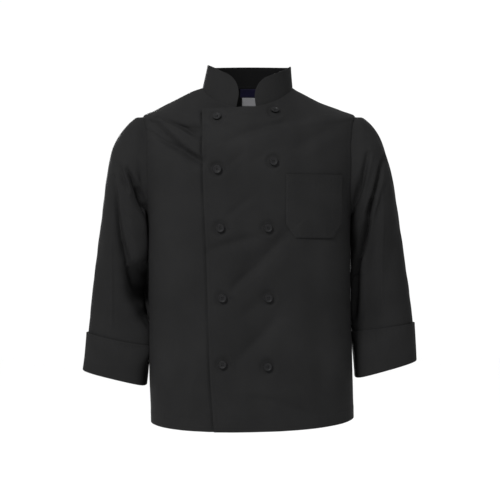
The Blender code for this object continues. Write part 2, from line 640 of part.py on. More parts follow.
def make_pocket(twill, collection):
    """A patch whose lower corners are cut off, made from the panel's own points."""
    grid = []
    for z in np.linspace(POCKET_BOTTOM, POCKET_TOP, POCKET_ROWS + 1):
        mitre = POCKET_MITRE_WIDTH * max(0.0, 1 - (z - POCKET_BOTTOM) / POCKET_MITRE_HEIGHT)
        x = np.linspace(POCKET_LEFT + mitre, POCKET_RIGHT - mitre, POCKET_COLUMNS + 1)
        level = level_at(x, np.full_like(x, z))
        grid.append(front_surface(level, angle_at_x(level, x), POCKET_SEAT + POCKET_CLOTH))
    mesh = sheet("pocket", np.array(grid))
    add_cloth("pocket", mesh, POCKET_CLOTH, twill, collection)


def make_label(name, half_width, top, bottom, stand_off, tape, collection):
    """A flat tape on the inner side of the back, just below the neck seam."""
    fall = np.linspace(NECK_LEVEL, UNDERARM_LEVEL, COLLAR_SAMPLES)
    length = run_length(torso(fall, 1.5 * np.pi))
    grid = []
    for down in np.linspace(bottom, top, LABEL_ROWS + 1):
        level = np.full(LABEL_COLUMNS + 1, np.interp(down, length, fall))
        x = np.linspace(-half_width, half_width, LABEL_COLUMNS + 1)
        angle = 2 * np.pi - angle_at_x(level, x)
        grid.append(back_surface(level, angle, -CLOTH - stand_off))
    mesh = sheet(name, np.array(grid), flip=True)
    add_cloth(name, mesh, LABEL_CLOTH, tape, collection)


def button_mesh():
    """A turned button with a raised rim and a dished middle, its back on z = 0."""
    bm = bmesh.new()
    corners = [bm.verts.new((out * BUTTON_RADIUS, 0.0, up * BUTTON_THICKNESS))
               for out, up in BUTTON_PROFILE]
    edges = [bm.edges.new(pair) for pair in zip(corners, corners[1:])]
    bmesh.ops.spin(bm, geom=corners + edges, cent=(0, 0, 0), axis=(0, 0, 1),
                   angle=2 * math.pi, steps=BUTTON_SEGMENTS, use_merge=True)
    bmesh.ops.remove_doubles(bm, verts=bm.verts, dist=1e-6)
    bmesh.ops.recalc_face_normals(bm, faces=bm.faces)
    mesh = bpy.data.meshes.new("button")
    bm.to_mesh(mesh)
    bm.free()
    return mesh


def hole_cutter(cutters):
    """Four thread holes in one cutter."""
    bm = bmesh.new()
    for turn in np.radians((45, 135, 225, 315)):
        centre = (HOLE_SPREAD * math.cos(turn), HOLE_SPREAD * math.sin(turn), 0)
        bmesh.ops.create_cone(bm, cap_ends=True, segments=HOLE_SEGMENTS,
                              radius1=HOLE_RADIUS, radius2=HOLE_RADIUS,
                              depth=4 * BUTTON_THICKNESS, matrix=Matrix.Translation(centre))
    mesh = bpy.data.meshes.new("button_holes")
    bm.to_mesh(mesh)
    bm.free()
    cutter = bpy.data.objects.new("button_holes", mesh)
    cutter.hide_render = True
    cutter.display_type = "WIRE"
    cutters.objects.link(cutter)
    return cutter


def make_button(name, x, z, plastic, collection, cutters):
    """A button lying on the front panel and turned to face with it."""
    level = level_at(np.array(x), np.array(z))
    angle = angle_at_x(level, x)
    point = front_surface(level, angle, BUTTON_SEAT)
    out = torso_normal(level, angle)
    across = unit(np.cross((0, 0, 1), out))
    frame = np.stack((across, np.cross(out, across), out, point), -1)
    piece = add_object(name, button_mesh(), plastic, collection)
    piece.matrix_world = Matrix(frame.tolist() + [[0, 0, 0, 1]])
    cutter = hole_cutter(cutters)
    cutter.matrix_world = piece.matrix_world
    cut = piece.modifiers.new("thread holes", "BOOLEAN")
    cut.operation = "DIFFERENCE"
    cut.solver = "EXACT"
    cut.object = cutter


def make_buttons(plastic, collection, cutters):
    """Two columns of five, numbered from the top."""
    for side, column in ((1, "left"), (-1, "right")):
        chosen = BUTTONS["side"] == side
        places = zip(BUTTONS["x"][chosen], BUTTONS["z"][chosen])
        for n, (x, z) in enumerate(places, 1):
            make_button(f"button_{column}_{n}", x, z, plastic, collection, cutters)


def main():
    for old in list(bpy.data.objects):
        bpy.data.objects.remove(old)
    jacket = bpy.data.collections.new("chef_jacket")
    cutters = bpy.data.collections.new("cutters")
    bpy.context.scene.collection.children.link(jacket)
    bpy.context.scene.collection.children.link(cutters)
    twill = material("black twill", BLACK_TWILL)
    make_fronts(twill, jacket)
    make_back(twill, jacket)
    for name, side in (("left", 1), ("right", -1)):
        make_sleeve(f"sleeve_{name}", side, twill, jacket)
        make_cuff(f"cuff_{name}", side, twill, jacket)
    make_collar(twill, jacket)
    make_pocket(twill, jacket)
    tapes = (material("navy tape", NAVY_TAPE), material("pale tape", PALE_TAPE))
    for label, tape in zip(LABELS, tapes):
        make_label(*label, tape, jacket)
    make_buttons(material("black plastic", BLACK_PLASTIC), jacket, cutters)


main()
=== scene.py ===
# %% [markdown]
# # A black chef jacket
# The jacket is worn by nobody, but it keeps the hollow shape it has on a wearer. Its form
# comes from a few tables of real sizes: rings round the body, sections down each sleeve, and
# folds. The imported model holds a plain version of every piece. Here each piece is made again
# as fine cloth, in the same place, with its seams, stitches, weave and creases.

# %% Load the frame
import json
import math

import bpy
import numpy as np
from mathutils import Matrix, Vector

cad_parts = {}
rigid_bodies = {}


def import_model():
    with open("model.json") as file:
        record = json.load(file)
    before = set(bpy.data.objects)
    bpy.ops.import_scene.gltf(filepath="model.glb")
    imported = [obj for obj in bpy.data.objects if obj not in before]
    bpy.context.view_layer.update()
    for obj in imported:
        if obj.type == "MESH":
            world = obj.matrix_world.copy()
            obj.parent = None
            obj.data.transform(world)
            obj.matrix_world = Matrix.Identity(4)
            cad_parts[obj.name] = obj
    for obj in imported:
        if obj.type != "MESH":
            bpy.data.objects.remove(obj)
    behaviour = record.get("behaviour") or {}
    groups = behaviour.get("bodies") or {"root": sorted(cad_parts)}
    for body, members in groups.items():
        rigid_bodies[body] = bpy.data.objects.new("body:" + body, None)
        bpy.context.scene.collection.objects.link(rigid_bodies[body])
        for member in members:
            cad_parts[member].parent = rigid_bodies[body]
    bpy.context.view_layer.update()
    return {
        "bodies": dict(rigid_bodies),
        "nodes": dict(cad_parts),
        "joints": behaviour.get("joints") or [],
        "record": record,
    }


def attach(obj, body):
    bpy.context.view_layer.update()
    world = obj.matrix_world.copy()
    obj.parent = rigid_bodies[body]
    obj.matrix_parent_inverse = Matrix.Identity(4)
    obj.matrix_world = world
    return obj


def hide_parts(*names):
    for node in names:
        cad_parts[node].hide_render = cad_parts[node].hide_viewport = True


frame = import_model()

# %% [markdown]
# ## Camera and studio
# A product shot is taken square on, from far enough away that little is foreshortened. The
# camera is 3.2 m off, level with the middle of the jacket. Black cloth shows its form only by
# what it reflects, so the room is pale all round, and one large soft lamp on the left gives
# each fold a light side and a dark side.

# %% Camera and studio
CAMERA_DISTANCE = 3.2
CAMERA_X = 0.0022
CAMERA_Z = -0.356
FRAME_WIDTH = 1.1            # metres that the picture is wide, at the jacket's middle plane
SENSOR = 36.0                # millimetres
FLOOR_Z = -1.7
FLOOR_SIZE = 30.0

stage_scene = bpy.context.scene
stage_scene.view_settings.view_transform = "Standard"

bpy.ops.object.camera_add(location=(CAMERA_X, -CAMERA_DISTANCE, CAMERA_Z),
                          rotation=(math.radians(90), 0, 0))
camera = bpy.context.object
camera.data.sensor_width = SENSOR
camera.data.lens = SENSOR * CAMERA_DISTANCE / FRAME_WIDTH
stage_scene.camera = camera


def soft_lamp(name, place, target, size, watts):
    """A square area lamp that faces a target."""
    aim = (Vector(target) - Vector(place)).to_track_quat("-Z", "Y").to_euler()
    bpy.ops.object.light_add(type="AREA", location=place, rotation=aim)
    lamp = bpy.context.object
    lamp.name = name
    lamp.data.size = size
    lamp.data.energy = watts


soft_lamp("key_lamp", (-1.6, -2.8, 2.0), (0, 0, -0.3), 1.0, 250)
soft_lamp("fill_lamp", (0.9, -1.3, 1.5), (0.05, -0.05, 0), 0.5, 13)
soft_lamp("back_lamp", (-1.0, 3.2, 0.4), (0, 0, -0.3), 0.9, 160)

room = bpy.data.worlds.new("pale_room")
stage_scene.world = room
room.use_nodes = True
room.node_tree.nodes["Background"].inputs["Color"].default_value = (1.0, 1.0, 1.0, 1.0)
room.node_tree.nodes["Background"].inputs["Strength"].default_value = 1.03

bpy.ops.mesh.primitive_plane_add(size=FLOOR_SIZE, location=(0, 0, FLOOR_Z))
floor = bpy.context.object
floor.name = "floor"
print("camera lens", round(camera.data.lens, 1), "mm")

# %% [markdown]
# ## Shader maths
# A material is a graph of nodes. Written out one by one, even a small pattern takes a page, so
# a node's socket is wrapped in a small class here. Adding or multiplying two of them adds the
# Math node that does it, and the pattern reads like a formula.


# %% Shader maths
class Field:
    """A socket of a material's graph, used like a number in a formula."""

    def __init__(self, tree, socket=None):
        self.tree = tree
        self.socket = socket

    def node(self, kind, settings=None, sockets=None, output=0):
        """Add any node: its settings are set first, then the values or links of its sockets."""
        new = self.tree.nodes.new(kind)
        for name, value in (settings or {}).items():
            if name == "stops":
                for spot, (place, colour) in zip(new.color_ramp.elements, value):
                    spot.position = place
                    spot.color = colour
            else:
                setattr(new, name, value)
        for name, value in (sockets or {}).items():
            if isinstance(value, Field):
                self.tree.links.new(value.socket, new.inputs[name])
            else:
                new.inputs[name].default_value = value
        return Field(self.tree, new.outputs[output])

    def maths(self, operation, first, second=0.0):
        return self.node("ShaderNodeMath", {"operation": operation}, {0: first, 1: second})

    def __add__(self, other):
        return self.maths("ADD", self, other)

    def __mul__(self, other):
        return self.maths("MULTIPLY", self, other)

    def sine(self):
        return self.maths("SINE", self)


def new_material(name, colour, roughness, **more):
    """A material, its shader with every even value set on its own sockets, and its graph."""
    material = bpy.data.materials.new(name)
    material.use_nodes = True
    tree = material.node_tree
    shader = tree.nodes["Principled BSDF"]
    shader.inputs["Base Color"].default_value = (*colour, 1.0)
    shader.inputs["Roughness"].default_value = roughness
    for socket, value in more.items():
        shader.inputs[socket.replace("_", " ")].default_value = value
    material.diffuse_color = (*colour, 1.0)
    return material, shader, Field(tree)


floor_material, _, _ = new_material("pale_floor", (0.96, 0.96, 0.96), 0.9)
floor.data.materials.append(floor_material)

# %% [markdown]
# ## Black twill
# The cloth is a poly-cotton twill: its threads cross so that fine ribs run diagonally. Pure
# black would show no shape at all, so the colour is a very dark grey, a little uneven from one
# yarn to the next. It hardly shines, because the fine fibres that stand up on it scatter the
# light. Patterns follow the cut of each piece, through its UV map in metres.

# %% Black twill
TWILL_PITCH = 0.0011         # from one diagonal rib to the next
YARN_SCALE = 900.0           # yarn specks in a metre
CLOUD_SCALE = 9.0            # soft dye clouds in a metre
YARN_SHARE = 0.55            # of the shade that the yarns give; the clouds give the rest
DARKEST, LIGHTEST = 0.32, 0.68   # shades at which the two colours are reached
TWILL_SLOPE = 0.8            # how far the ribs run along the cloth for each step across it
YARN_RELIEF = 0.7            # height of the specks, as a share of a rib's
TWILL_STRENGTH = 0.6
ROUGHNESS_SPREAD = 0.16


def cloth_material(name, dark, light, roughness, rib):
    """A woven cloth: two shades that vary yarn by yarn, and diagonal ribs as relief."""
    material, shader, graph = new_material(name, light, roughness, Specular_IOR_Level=0.06)
    tree = graph.tree
    place = graph.node("ShaderNodeUVMap", {"uv_map": "cut"})
    across = graph.node("ShaderNodeSeparateXYZ", {}, {0: place})
    along = Field(tree, across.socket.node.outputs[1])
    yarn = graph.node("ShaderNodeTexNoise", {"noise_dimensions": "2D"},
                      {"Vector": place, "Scale": YARN_SCALE, "Detail": 2.0})
    cloud = graph.node("ShaderNodeTexNoise", {"noise_dimensions": "2D"},
                       {"Vector": place, "Scale": CLOUD_SCALE, "Detail": 3.0})
    shade = yarn * YARN_SHARE + cloud * (1 - YARN_SHARE)
    stops = ((DARKEST, (*dark, 1.0)), (LIGHTEST, (*light, 1.0)))
    ramp = graph.node("ShaderNodeValToRGB", {"stops": stops}, {0: shade})
    tree.links.new(ramp.socket, shader.inputs["Base Color"])
    turn = 2 * math.pi / TWILL_PITCH
    ribs = ((across + along * TWILL_SLOPE) * turn).sine() * 0.5 + 0.5
    bump = graph.node("ShaderNodeBump", {}, {"Height": ribs + yarn * YARN_RELIEF,
                                             "Distance": rib, "Strength": TWILL_STRENGTH})
    tree.links.new(bump.socket, shader.inputs["Normal"])
    rough = shade * ROUGHNESS_SPREAD + (roughness - ROUGHNESS_SPREAD / 2)
    tree.links.new(rough.socket, shader.inputs["Roughness"])
    return material


black_twill = cloth_material("black_twill", (0.0046, 0.0046, 0.0047), (0.0076, 0.0076, 0.0077),
                             0.85, 0.00010)
# The inner faces are the same twill coloured about four times darker: painted shade for the dim
# inside of the jacket.
painted_shade_inside = cloth_material("painted_shade_inside", (0.0009, 0.0009, 0.0010),
                              (0.0019, 0.0019, 0.0020), 0.95, 0.00010)
print("made", black_twill.name)

# %% [markdown]
# ## Thread, plastic and tapes
# The stitches are black polyester thread, a little smoother than the cloth. The buttons are
# moulded plastic with a dull polish. Two tapes are sewn inside the neck, one navy and one pale.
# The pale one is coloured mid grey instead of white: painted shade for its place deep in the neck.

# %% Thread, plastic and tapes
SCUFF_SCALE, SCUFF_SHARE = 420.0, 0.18     # fine scuffs, and what they add to the roughness
WEAR_SCALE, WEAR_SHARE = 60.0, 0.12        # broad dull patches
POLISH = 0.30                # roughness where the plastic is neither scuffed nor worn
SCUFF_RELIEF = 0.00002

thread, _, _ = new_material("black_thread", (0.0068, 0.0068, 0.0070), 0.6,
                            Specular_IOR_Level=0.08)


def plastic_material(name, colour):
    """Moulded plastic with faint scuffs that dull it here and there."""
    material, shader, graph = new_material(name, colour, 0.4, Specular_IOR_Level=0.10)
    place = graph.node("ShaderNodeTexCoord", {}, {}, output=3)
    scuff = graph.node("ShaderNodeTexNoise", {},
                       {"Vector": place, "Scale": SCUFF_SCALE, "Detail": 4.0})
    wear = graph.node("ShaderNodeTexNoise", {},
                      {"Vector": place, "Scale": WEAR_SCALE, "Detail": 2.0})
    rough = scuff * SCUFF_SHARE + wear * WEAR_SHARE + POLISH
    graph.tree.links.new(rough.socket, shader.inputs["Roughness"])
    bump = graph.node("ShaderNodeBump", {}, {"Height": scuff, "Distance": SCUFF_RELIEF})
    graph.tree.links.new(bump.socket, shader.inputs["Normal"])
    return material


black_plastic = plastic_material("black_plastic", (0.0045, 0.0045, 0.0048))
navy_tape = cloth_material("navy_tape", (0.0035, 0.0030, 0.010), (0.0055, 0.0050, 0.016),
                           0.6, 0.00006)
# The pale tape is a white care tape coloured mid grey: painted shade for the dim inside of the
# neck.
pale_tape = cloth_material("pale_tape", (0.115, 0.115, 0.12), (0.165, 0.165, 0.17),
                           0.6, 0.00005)

# %% [markdown]
# ## Sizes of the jacket
# These tables are the pattern: what a cutter would read off a size chart. Each has named
# columns and a row for each ring, sleeve section or fold. Their lengths are in millimetres,
# and the columns named in PLAIN are shares, powers, slopes, signs or degrees. Everywhere else
# a length is in metres. A smooth curve is drawn through each column, so eleven rings are
# enough for the whole body.

# %% Sizes of the jacket
CLOTH = 0.0017               # one layer of twill with its turned edge
COLLAR_CLOTH = 0.0026
CUFF_CLOTH = 0.0018
POCKET_CLOTH = 0.0016
LABEL_CLOTH = 0.0010
GAP = 0.0003                 # between pieces that are sewn together
LAP_GAP = 0.0022             # between the over panel and the under panel
LAP_SLACK = 0.7              # how much further apart folds push them, as a share of the fold
UNDERARM_LEVEL = 0.455       # metres up the centre front from the hem
SHOULDER_LEVEL = 0.665
NECK_LEVEL = 0.800
ARMHOLE_FRONT = 0.072        # how far the armhole reaches forwards and backwards
ARMHOLE_BACK = 0.070
SIDES = ((1, "left"), (-1, "right"))     # the wearer's, as signs of x


PLAIN = {"square", "sag", "tilt", "ridge", "face", "side", "row", "turn", "turn_reach"}


def table(columns, *rows):
    """One array for each named column of a table, its lengths turned from mm to metres."""
    return {name: np.array(values, float) / (1 if name in PLAIN else 1000)
            for name, values in zip(columns.split(), zip(*rows))}


RINGS = table(
    "level half_width centre_x front back z_side z_front z_back square sag tilt",
    (0, 222.5, 7.5, 134, 117, -726, -740.5, -736, 2.4, 1.6, .022),  # hem
    (120, 223.2, 4, 134, 112, -612, -620, -615, 2.4, 1.6, .012),  # hip
    (290, 221.2, 1.2, 133, 99, -446, -450, -446, 2.5, 1.6, 0),  # waist
    (455, 223, 0, 136, 113, -285, -287, -280, 2.6, 1.6, 0),  # underarm
    (570, 239.5, 0, 134, 118, -165, -176, -166, 2.6, 1.6, 0),  # chest
    (620, 238.5, 0, 130, 116, -114, -131, -123, 2.3, 1.5, 0),
    (665, 232.5, 0, 121, 109, -64, -96, -83, 1.95, 1.25, 0),  # shoulder tip
    (700, 203, -2.5, 113, 103, -49, -79, -54, 2, 1.2, 0),
    (735, 162, -9, 103, 95, -31, -66, -29, 2.05, 1.3, 0),
    (775, 118, -8.5, 88.5, 82.5, -8.5, -54.5, -4, 2.1, 1.5, 0),
    (800, 99, -3.3, 80, 75, 0, -47.5, 8, 2.1, 1.6, 0),  # neck
)
FREE_EDGE = table("z x", (-740, -73.7), (-600, -83), (-386, -89.5),
                  (-170, -98), (-50, -100))
FRONT_FOLDS = table(
    "x1 z1 x2 z2 bow width depth ridge",
    (-203, -81, -100, -169, -9, 14, 6, .5),  # right shoulder
    (-45, -124, 138, -68, 8, 16, 5, -.4),  # across the chest
    (102, -140, 179, -95, 3, 14, 3, -.4),
    (-81, -357, 23, -329, 4, 15, 3.5, .3),
    (-45, -449, 75, -328, 4, 20, 6, -.5),  # waist, drawn to the buttons
    (-32, -594, 59, -497, -3, 20, 4.5, -.4),
    (14, -669, 130, -708, 6, 16, 3.5, .4),
    (-152, -600, -159, -735, 4, 22, 5, .3),  # flutes over the hem
    (140, -490, 166, -690, -4, 24, 5, -.3),
)
BACK_FOLDS = table(
    "x1 z1 x2 z2 bow width depth ridge",
    (-190, -150, -80, -330, 10, 20, 5.5, .4),  # shoulder blades
    (185, -130, 95, -350, -12, 21, 6, -.4),
    (-130, -400, 20, -450, 10, 24, 4.5, .4),  # small of the back
    (150, -420, 0, -500, -8, 25, 5, -.4),
    (-100, -560, -120, -725, 5, 26, 6, .3),  # flutes over the hem
    (60, -540, 78, -725, -6, 24, 5.5, -.3),
)
SLEEVE_LEFT_FOLDS = table(
    "x1 z1 x2 z2 bow width depth ridge face",
    (292, -164, 237, -406, 6, 14, 5.5, .4, -1),
    (268, -150, 222, -285, 3, 13, 4.5, .4, -1),
    (300, -430, 330, -300, 3, 14, 3.5, -.3, -1),
    (235, -300, 300, -190, 6, 15, 5, -.4, 1),
    (240, -460, 320, -400, 4, 15, 4, .3, 1),
)
SLEEVE_RIGHT_FOLDS = table(
    "x1 z1 x2 z2 bow width depth ridge face",
    (-286, -226, -230, -499, -12, 15, 7, .4, -1),
    (-265, -190, -222, -270, -3, 13, 5.5, .4, -1),
    (-310, -470, -330, -330, 3, 14, 3, .3, -1),
    (-232, -310, -300, -180, -6, 15, 5.5, .4, 1),
    (-238, -480, -322, -420, -4, 15, 4, -.3, 1),
)
SLEEVE_LEFT = table(
    "row outer_x outer_z inner_x inner_z centre_y half_depth square",
    (.022, 245, -64.5, 224.8, -287.2, 1, 74.2, 2),
    (.055, 260.5, -73.5, 226.2, -290, 2, 78, 2),
    (.11, 283, -100, 227, -296, 4, 83, 2.1),
    (.19, 301.2, -145, 226.5, -306, 10, 86, 2.3),
    (.28, 316, -200, 225, -320, 16, 84.5, 2.5),
    (.37, 326.5, -260, 223, -342, 22, 81, 2.6),
    (.46, 335.8, -320, 222.2, -374, 26, 76.5, 2.6),
    (.56, 345.5, -385, 222.2, -416, 28, 71, 2.6),
    (.67, 354.5, -450, 224, -466, 27, 65, 2.6),
    (.78, 362.5, -518, 229, -538, 24, 58.5, 2.5),
    (.9, 365.5, -570, 234, -598, 18, 52, 2.4),
    (1, 366.5, -596.5, 236.5, -633, 14, 49, 2.4),
)
SLEEVE_RIGHT = table(
    "row outer_x outer_z inner_x inner_z centre_y half_depth square",
    (.022, 244, -64.5, 224.8, -287.2, 1, 74.2, 2),
    (.055, 259, -73.5, 226.2, -290, 2, 78, 2),
    (.11, 282.2, -100, 227, -296, 4, 83, 2.1),
    (.19, 303.5, -145, 226.5, -306, 10, 86, 2.3),
    (.28, 313.8, -200, 225, -320, 16, 84.5, 2.5),
    (.37, 322.2, -265, 222.8, -346, 22, 81, 2.6),
    (.46, 331.5, -330, 221.2, -383, 26, 76.5, 2.6),
    (.56, 340.5, -398, 220.3, -430, 28, 71, 2.6),
    (.67, 348, -465, 220.5, -488, 27, 65, 2.6),
    (.78, 355.5, -540, 223, -570, 24, 58.5, 2.5),
    (.9, 360.5, -595, 226.2, -625, 18, 52, 2.4),
    (1, 363.5, -617.5, 228.5, -650, 14, 49, 2.4),
)
BUTTONS = table(
    "x z side",
    (55.5, -57.8, 1), (52, -169, 1), (40.7, -309.8, 1),
    (41.3, -458, 1), (39.8, -602.4, 1),
    (-68, -72, -1), (-66.7, -185.7, -1), (-60.1, -309.8, -1),
    (-55.9, -458, -1), (-55.9, -597.8, -1),
)
print(len(RINGS["level"]), "rings,", len(SLEEVE_LEFT["row"]), "sections a sleeve")

# %% [markdown]
# ## The body's surface
# A place on the jacket's body is a level, in metres up the centre front from the hem, and an
# angle round it: 0 at the wearer's left side, 90 degrees at centre front, 270 at centre back.
# Fronts, back, collar, pocket and buttons all read this one surface, so they can't drift apart.


# %% The body's surface
HALVINGS = 36
NEAR_ARMHOLE = 0.115         # half the depth of the oval round an armhole where folds fade


def smooth(x, xs, ys):
    """Smooth curve through a table's column that never overshoots its rows."""
    step = np.diff(xs)
    slope = np.diff(ys) / step
    product = slope[:-1] * slope[1:]
    total = slope[:-1] + slope[1:]
    inner = np.where(product > 0, 2 * product / np.where(product > 0, total, 1), 0)
    tangent = np.concatenate(([slope[0]], inner, [slope[-1]]))
    x = np.clip(x, xs[0], xs[-1])
    i = np.clip(np.searchsorted(xs, x, side="right") - 1, 0, len(step) - 1)
    t = (x - xs[i]) / step[i]
    rise = ys[i] * (1 + 2 * t) * (1 - t) ** 2 + ys[i + 1] * t * t * (3 - 2 * t)
    bend = step[i] * (tangent[i] * t * (1 - t) ** 2 - tangent[i + 1] * t * t * (1 - t))
    return rise + bend


def ease(x):
    """0 below 0, 1 above 1, and a smooth step between."""
    x = np.clip(x, 0.0, 1.0)
    return x * x * (3 - 2 * x)


def unit(vectors):
    return vectors / np.linalg.norm(vectors, axis=-1, keepdims=True)


def run_length(points):
    """Distance along a line of points, from its first point to each."""
    return np.concatenate(([0.0], np.cumsum(np.linalg.norm(np.diff(points, axis=0), axis=1))))


def along_line(places, run, line):
    """Points of a line at places along it, where run is how far along its own points are."""
    return np.stack([np.interp(places, run, column) for column in line.T], -1)


def ring(level):
    return {name: smooth(level, RINGS["level"], RINGS[name]) for name in RINGS}


def torso(level, angle):
    """Point of the smooth body at a level and an angle."""
    level, angle = np.broadcast_arrays(level, angle)
    here = ring(level)
    cosine, sine = np.cos(angle), np.sin(angle)
    reach = np.abs(cosine) ** here["square"] + np.abs(sine) ** here["square"]
    reach = reach ** (-1 / here["square"])
    in_front = sine > 0
    depth = np.where(in_front, here["front"], here["back"])
    z_middle = np.where(in_front, here["z_front"], here["z_back"])
    drop = np.abs(sine * reach) ** here["sag"]
    x = here["centre_x"] + here["half_width"] * cosine * reach
    z = here["z_side"] + (z_middle - here["z_side"]) * drop + here["tilt"] * x
    return np.stack((x, -depth * sine * reach, z), -1)


def torso_normal(level, angle):
    nudge = 1e-4
    along = torso(level, angle + nudge) - torso(level, angle - nudge)
    up = torso(level + nudge, angle) - torso(level - nudge, angle)
    return unit(np.cross(up, along))


def angle_at_x(level, x):
    """Angle of the place on the front of a ring with this x."""
    here = ring(level)
    across = np.clip((x - here["centre_x"]) / here["half_width"], -1, 1)
    forward = (1 - np.abs(across) ** here["square"]) ** (1 / here["square"])
    return np.arctan2(forward, across)


def halve(is_below, low, high):
    """Where something that rises from low to high reaches its mark, found by halving."""
    for _ in range(HALVINGS):
        middle = (low + high) / 2
        below = is_below(middle)
        low, high = np.where(below, middle, low), np.where(below, high, middle)
    return (low + high) / 2


def level_at(x, z):
    """Level of the place on the front with this x and z."""
    hem = np.zeros(np.broadcast(x, z).shape)
    return halve(lambda level: torso(level, angle_at_x(level, x))[..., 2] < z,
                 hem, hem + NECK_LEVEL)


def on_front(x, z):
    """Level and angle of the place on the front that is seen square on at x and z."""
    level = level_at(x, z)
    return level, angle_at_x(level, x)


def armhole(way, depth, inset=0.0):
    """Level and angle of an armhole's edge: way is 0 at the shoulder and 1 at the underarm."""
    middle = (SHOULDER_LEVEL + UNDERARM_LEVEL) / 2
    half = (SHOULDER_LEVEL - UNDERARM_LEVEL) / 2 - inset
    level = middle + half * np.cos(np.pi * way)
    here = ring(level)
    wall = np.where(depth > 0, here["front"], here["back"])
    reach = (np.abs(depth) - inset) * np.sin(np.pi * way) / wall
    across = (1 - reach ** here["square"]) ** (1 / here["square"])
    return level, np.arctan2(reach, across)


def armhole_nearness(level, angle, fade):
    """1 along the armholes' edges, falling to 0 over a share of their size."""
    from_side = np.abs(np.mod(angle + np.pi / 2, np.pi) - np.pi / 2)
    up = (2 * level - SHOULDER_LEVEL - UNDERARM_LEVEL) / (SHOULDER_LEVEL - UNDERARM_LEVEL)
    out = from_side * ring(level)["half_width"] / NEAR_ARMHOLE
    return 1 - ease((np.hypot(up, out) - 1.0) / fade)


chest = torso(UNDERARM_LEVEL, np.linspace(0, 2 * np.pi, 400))
print("chest measures", round(float(run_length(chest)[-1]), 3))

# %% [markdown]
# ## Folds
# A fold in cloth is a soft trough with a ridge beside it, where the cloth that sank has to go.
# Each row of a fold table is a path on the cloth with a width and a depth, so every crease can
# be placed, bent and sized by hand. The wide ones shape the whole jacket. The creases add the
# sharp lines inside them and the small folds round the buttons, the arms and the hem.

# %% Folds
BUTTON_RADIUS = 0.0104
BUTTON_CALM = 0.021          # how far from a button or a seam the folds are held down
SEAM_CALM = 0.03
FOLD_STEPS = 24
FOLD_END = 0.08              # each end of a fold's path where it is already shallow
FOLD_FADE = 0.6              # how quickly it deepens from there
RIDGE_PLACE = 1.7            # middle of the ridge, in widths of the trough
HANG_BROAD = (0.113, 0.071, 0.047)       # lengths of the waves in hanging cloth
HANG_ACROSS = (0.171, 0.093)
HANG_HEIGHTS = (0.00028, 0.00018)

FRONT_CREASES = table(
    "x1 z1 x2 z2 bow width depth ridge",
    (-203, -85, -98, -170, -6, 8.4, 5, .8),
    (-195, -67, -122, -103, 3, 5.6, 6.2, -.4),
    (-190, -66, -104, -108, 3, 17, 8.8, -.2),
    (-212, -101, -155, -138, -2, 5.2, 4.4, .5),
    (-45, -126, 120, -74, 6, 8, 1.8, -.5),
    (10, -170, 60, -139, 2, 8, .8, .5),
    (-45, -179, -13, -150, 0, 7, 1.2, -.5),
    (-51, -295, 6, -244, 3, 8, 1.5, -.4),
    (-81, -357, 23, -329, 4, 7, 1.4, .3),
    (-45, -449, 20, -390, 3, 7.5, 2.8, -.5),
    (12, -398, 78, -326, 2, 8, 2.2, -.5),
    (-20, -500, 45, -455, 3, 9, 1, .4),
    (-32, -594, 59, -497, -3, 9, 1.6, -.4),
    (14, -669, 75, -684, 3, 7, 1.4, .4),
    (70, -682, 130, -708, 2, 8, 1, .4),
    (-72, -680, -38, -712, 2, 8, 1.2, .4),
    (-112, -330, -100, -620, 4, 15, 1.2, .3),
)
BACK_CREASES = table(
    "x1 z1 x2 z2 bow width depth ridge",
    (-185, -165, -90, -310, 10, 7.5, 4.2, .5),
    (180, -150, 100, -330, -12, 7.5, 4.6, -.5),
    (-150, -110, -60, -128, -6, 8.5, 2.2, .5),
    (155, -105, 50, -122, 6, 8.5, 2.4, -.5),
    (-120, -400, 10, -440, 10, 8.5, 3.4, .4),
    (-180, -440, -70, -475, 8, 8.5, 2.6, .5),
    (140, -425, 10, -495, -8, 8.5, 3.8, -.4),
    (190, -470, 80, -520, -6, 8, 2.4, .5),
    (-95, -580, -112, -710, 5, 10, 3, .3),
    (62, -560, 76, -705, -6, 10, 2.8, -.3),
    (-20, -600, -12, -725, 4, 14, 2.8, .3),
)
SLEEVE_LEFT_CREASES = table(
    "x1 z1 x2 z2 bow width depth ridge face",
    (290, -160, 257, -280, 2, 5.4, 12.5, .3, -1),
    (266, -250, 231, -405, 1, 6, 14, .3, -1),
    (236, -385, 230, -512, 1, 7, 10, .2, -1),
    (256, -150, 211, -300, 2, 6.2, 11.5, .3, -1),
    (289.5, -200, 289.5, -523, 0, 3, -1.7, 0, -1),  # pressed edge
    (240, -330, 285, -250, 5, 7, 2.2, -.5, 1),
    (236, -390, 310, -330, 5, 7, 2, -.4, 1),
    (240, -450, 318, -405, 4, 7, 1.8, .4, 1),
)
SLEEVE_RIGHT_CREASES = table(
    "x1 z1 x2 z2 bow width depth ridge face",
    (-262, -185, -228, -243, 0, 6, 12.5, .12, -1),
    (-236, -228, -212, -282, -2, 6, 12, .12, -1),
    (-278, -176, -262, -230, -1, 5, 5, .4, -1),
    (-292, -200, -265, -388, -5, 6, 8.5, .4, -1),
    (-272, -345, -217, -521, -1, 6.6, 8.5, .08, -1),
    (-298, -335, -298, -547, 0, 3, -1.7, 0, -1),  # pressed edge
    (-240, -340, -290, -240, -5, 7, 2.2, .5, 1),
    (-238, -400, -315, -340, -5, 7, 1.9, .4, 1),
    (-240, -470, -320, -425, -4, 7, 1.8, -.4, 1),
)


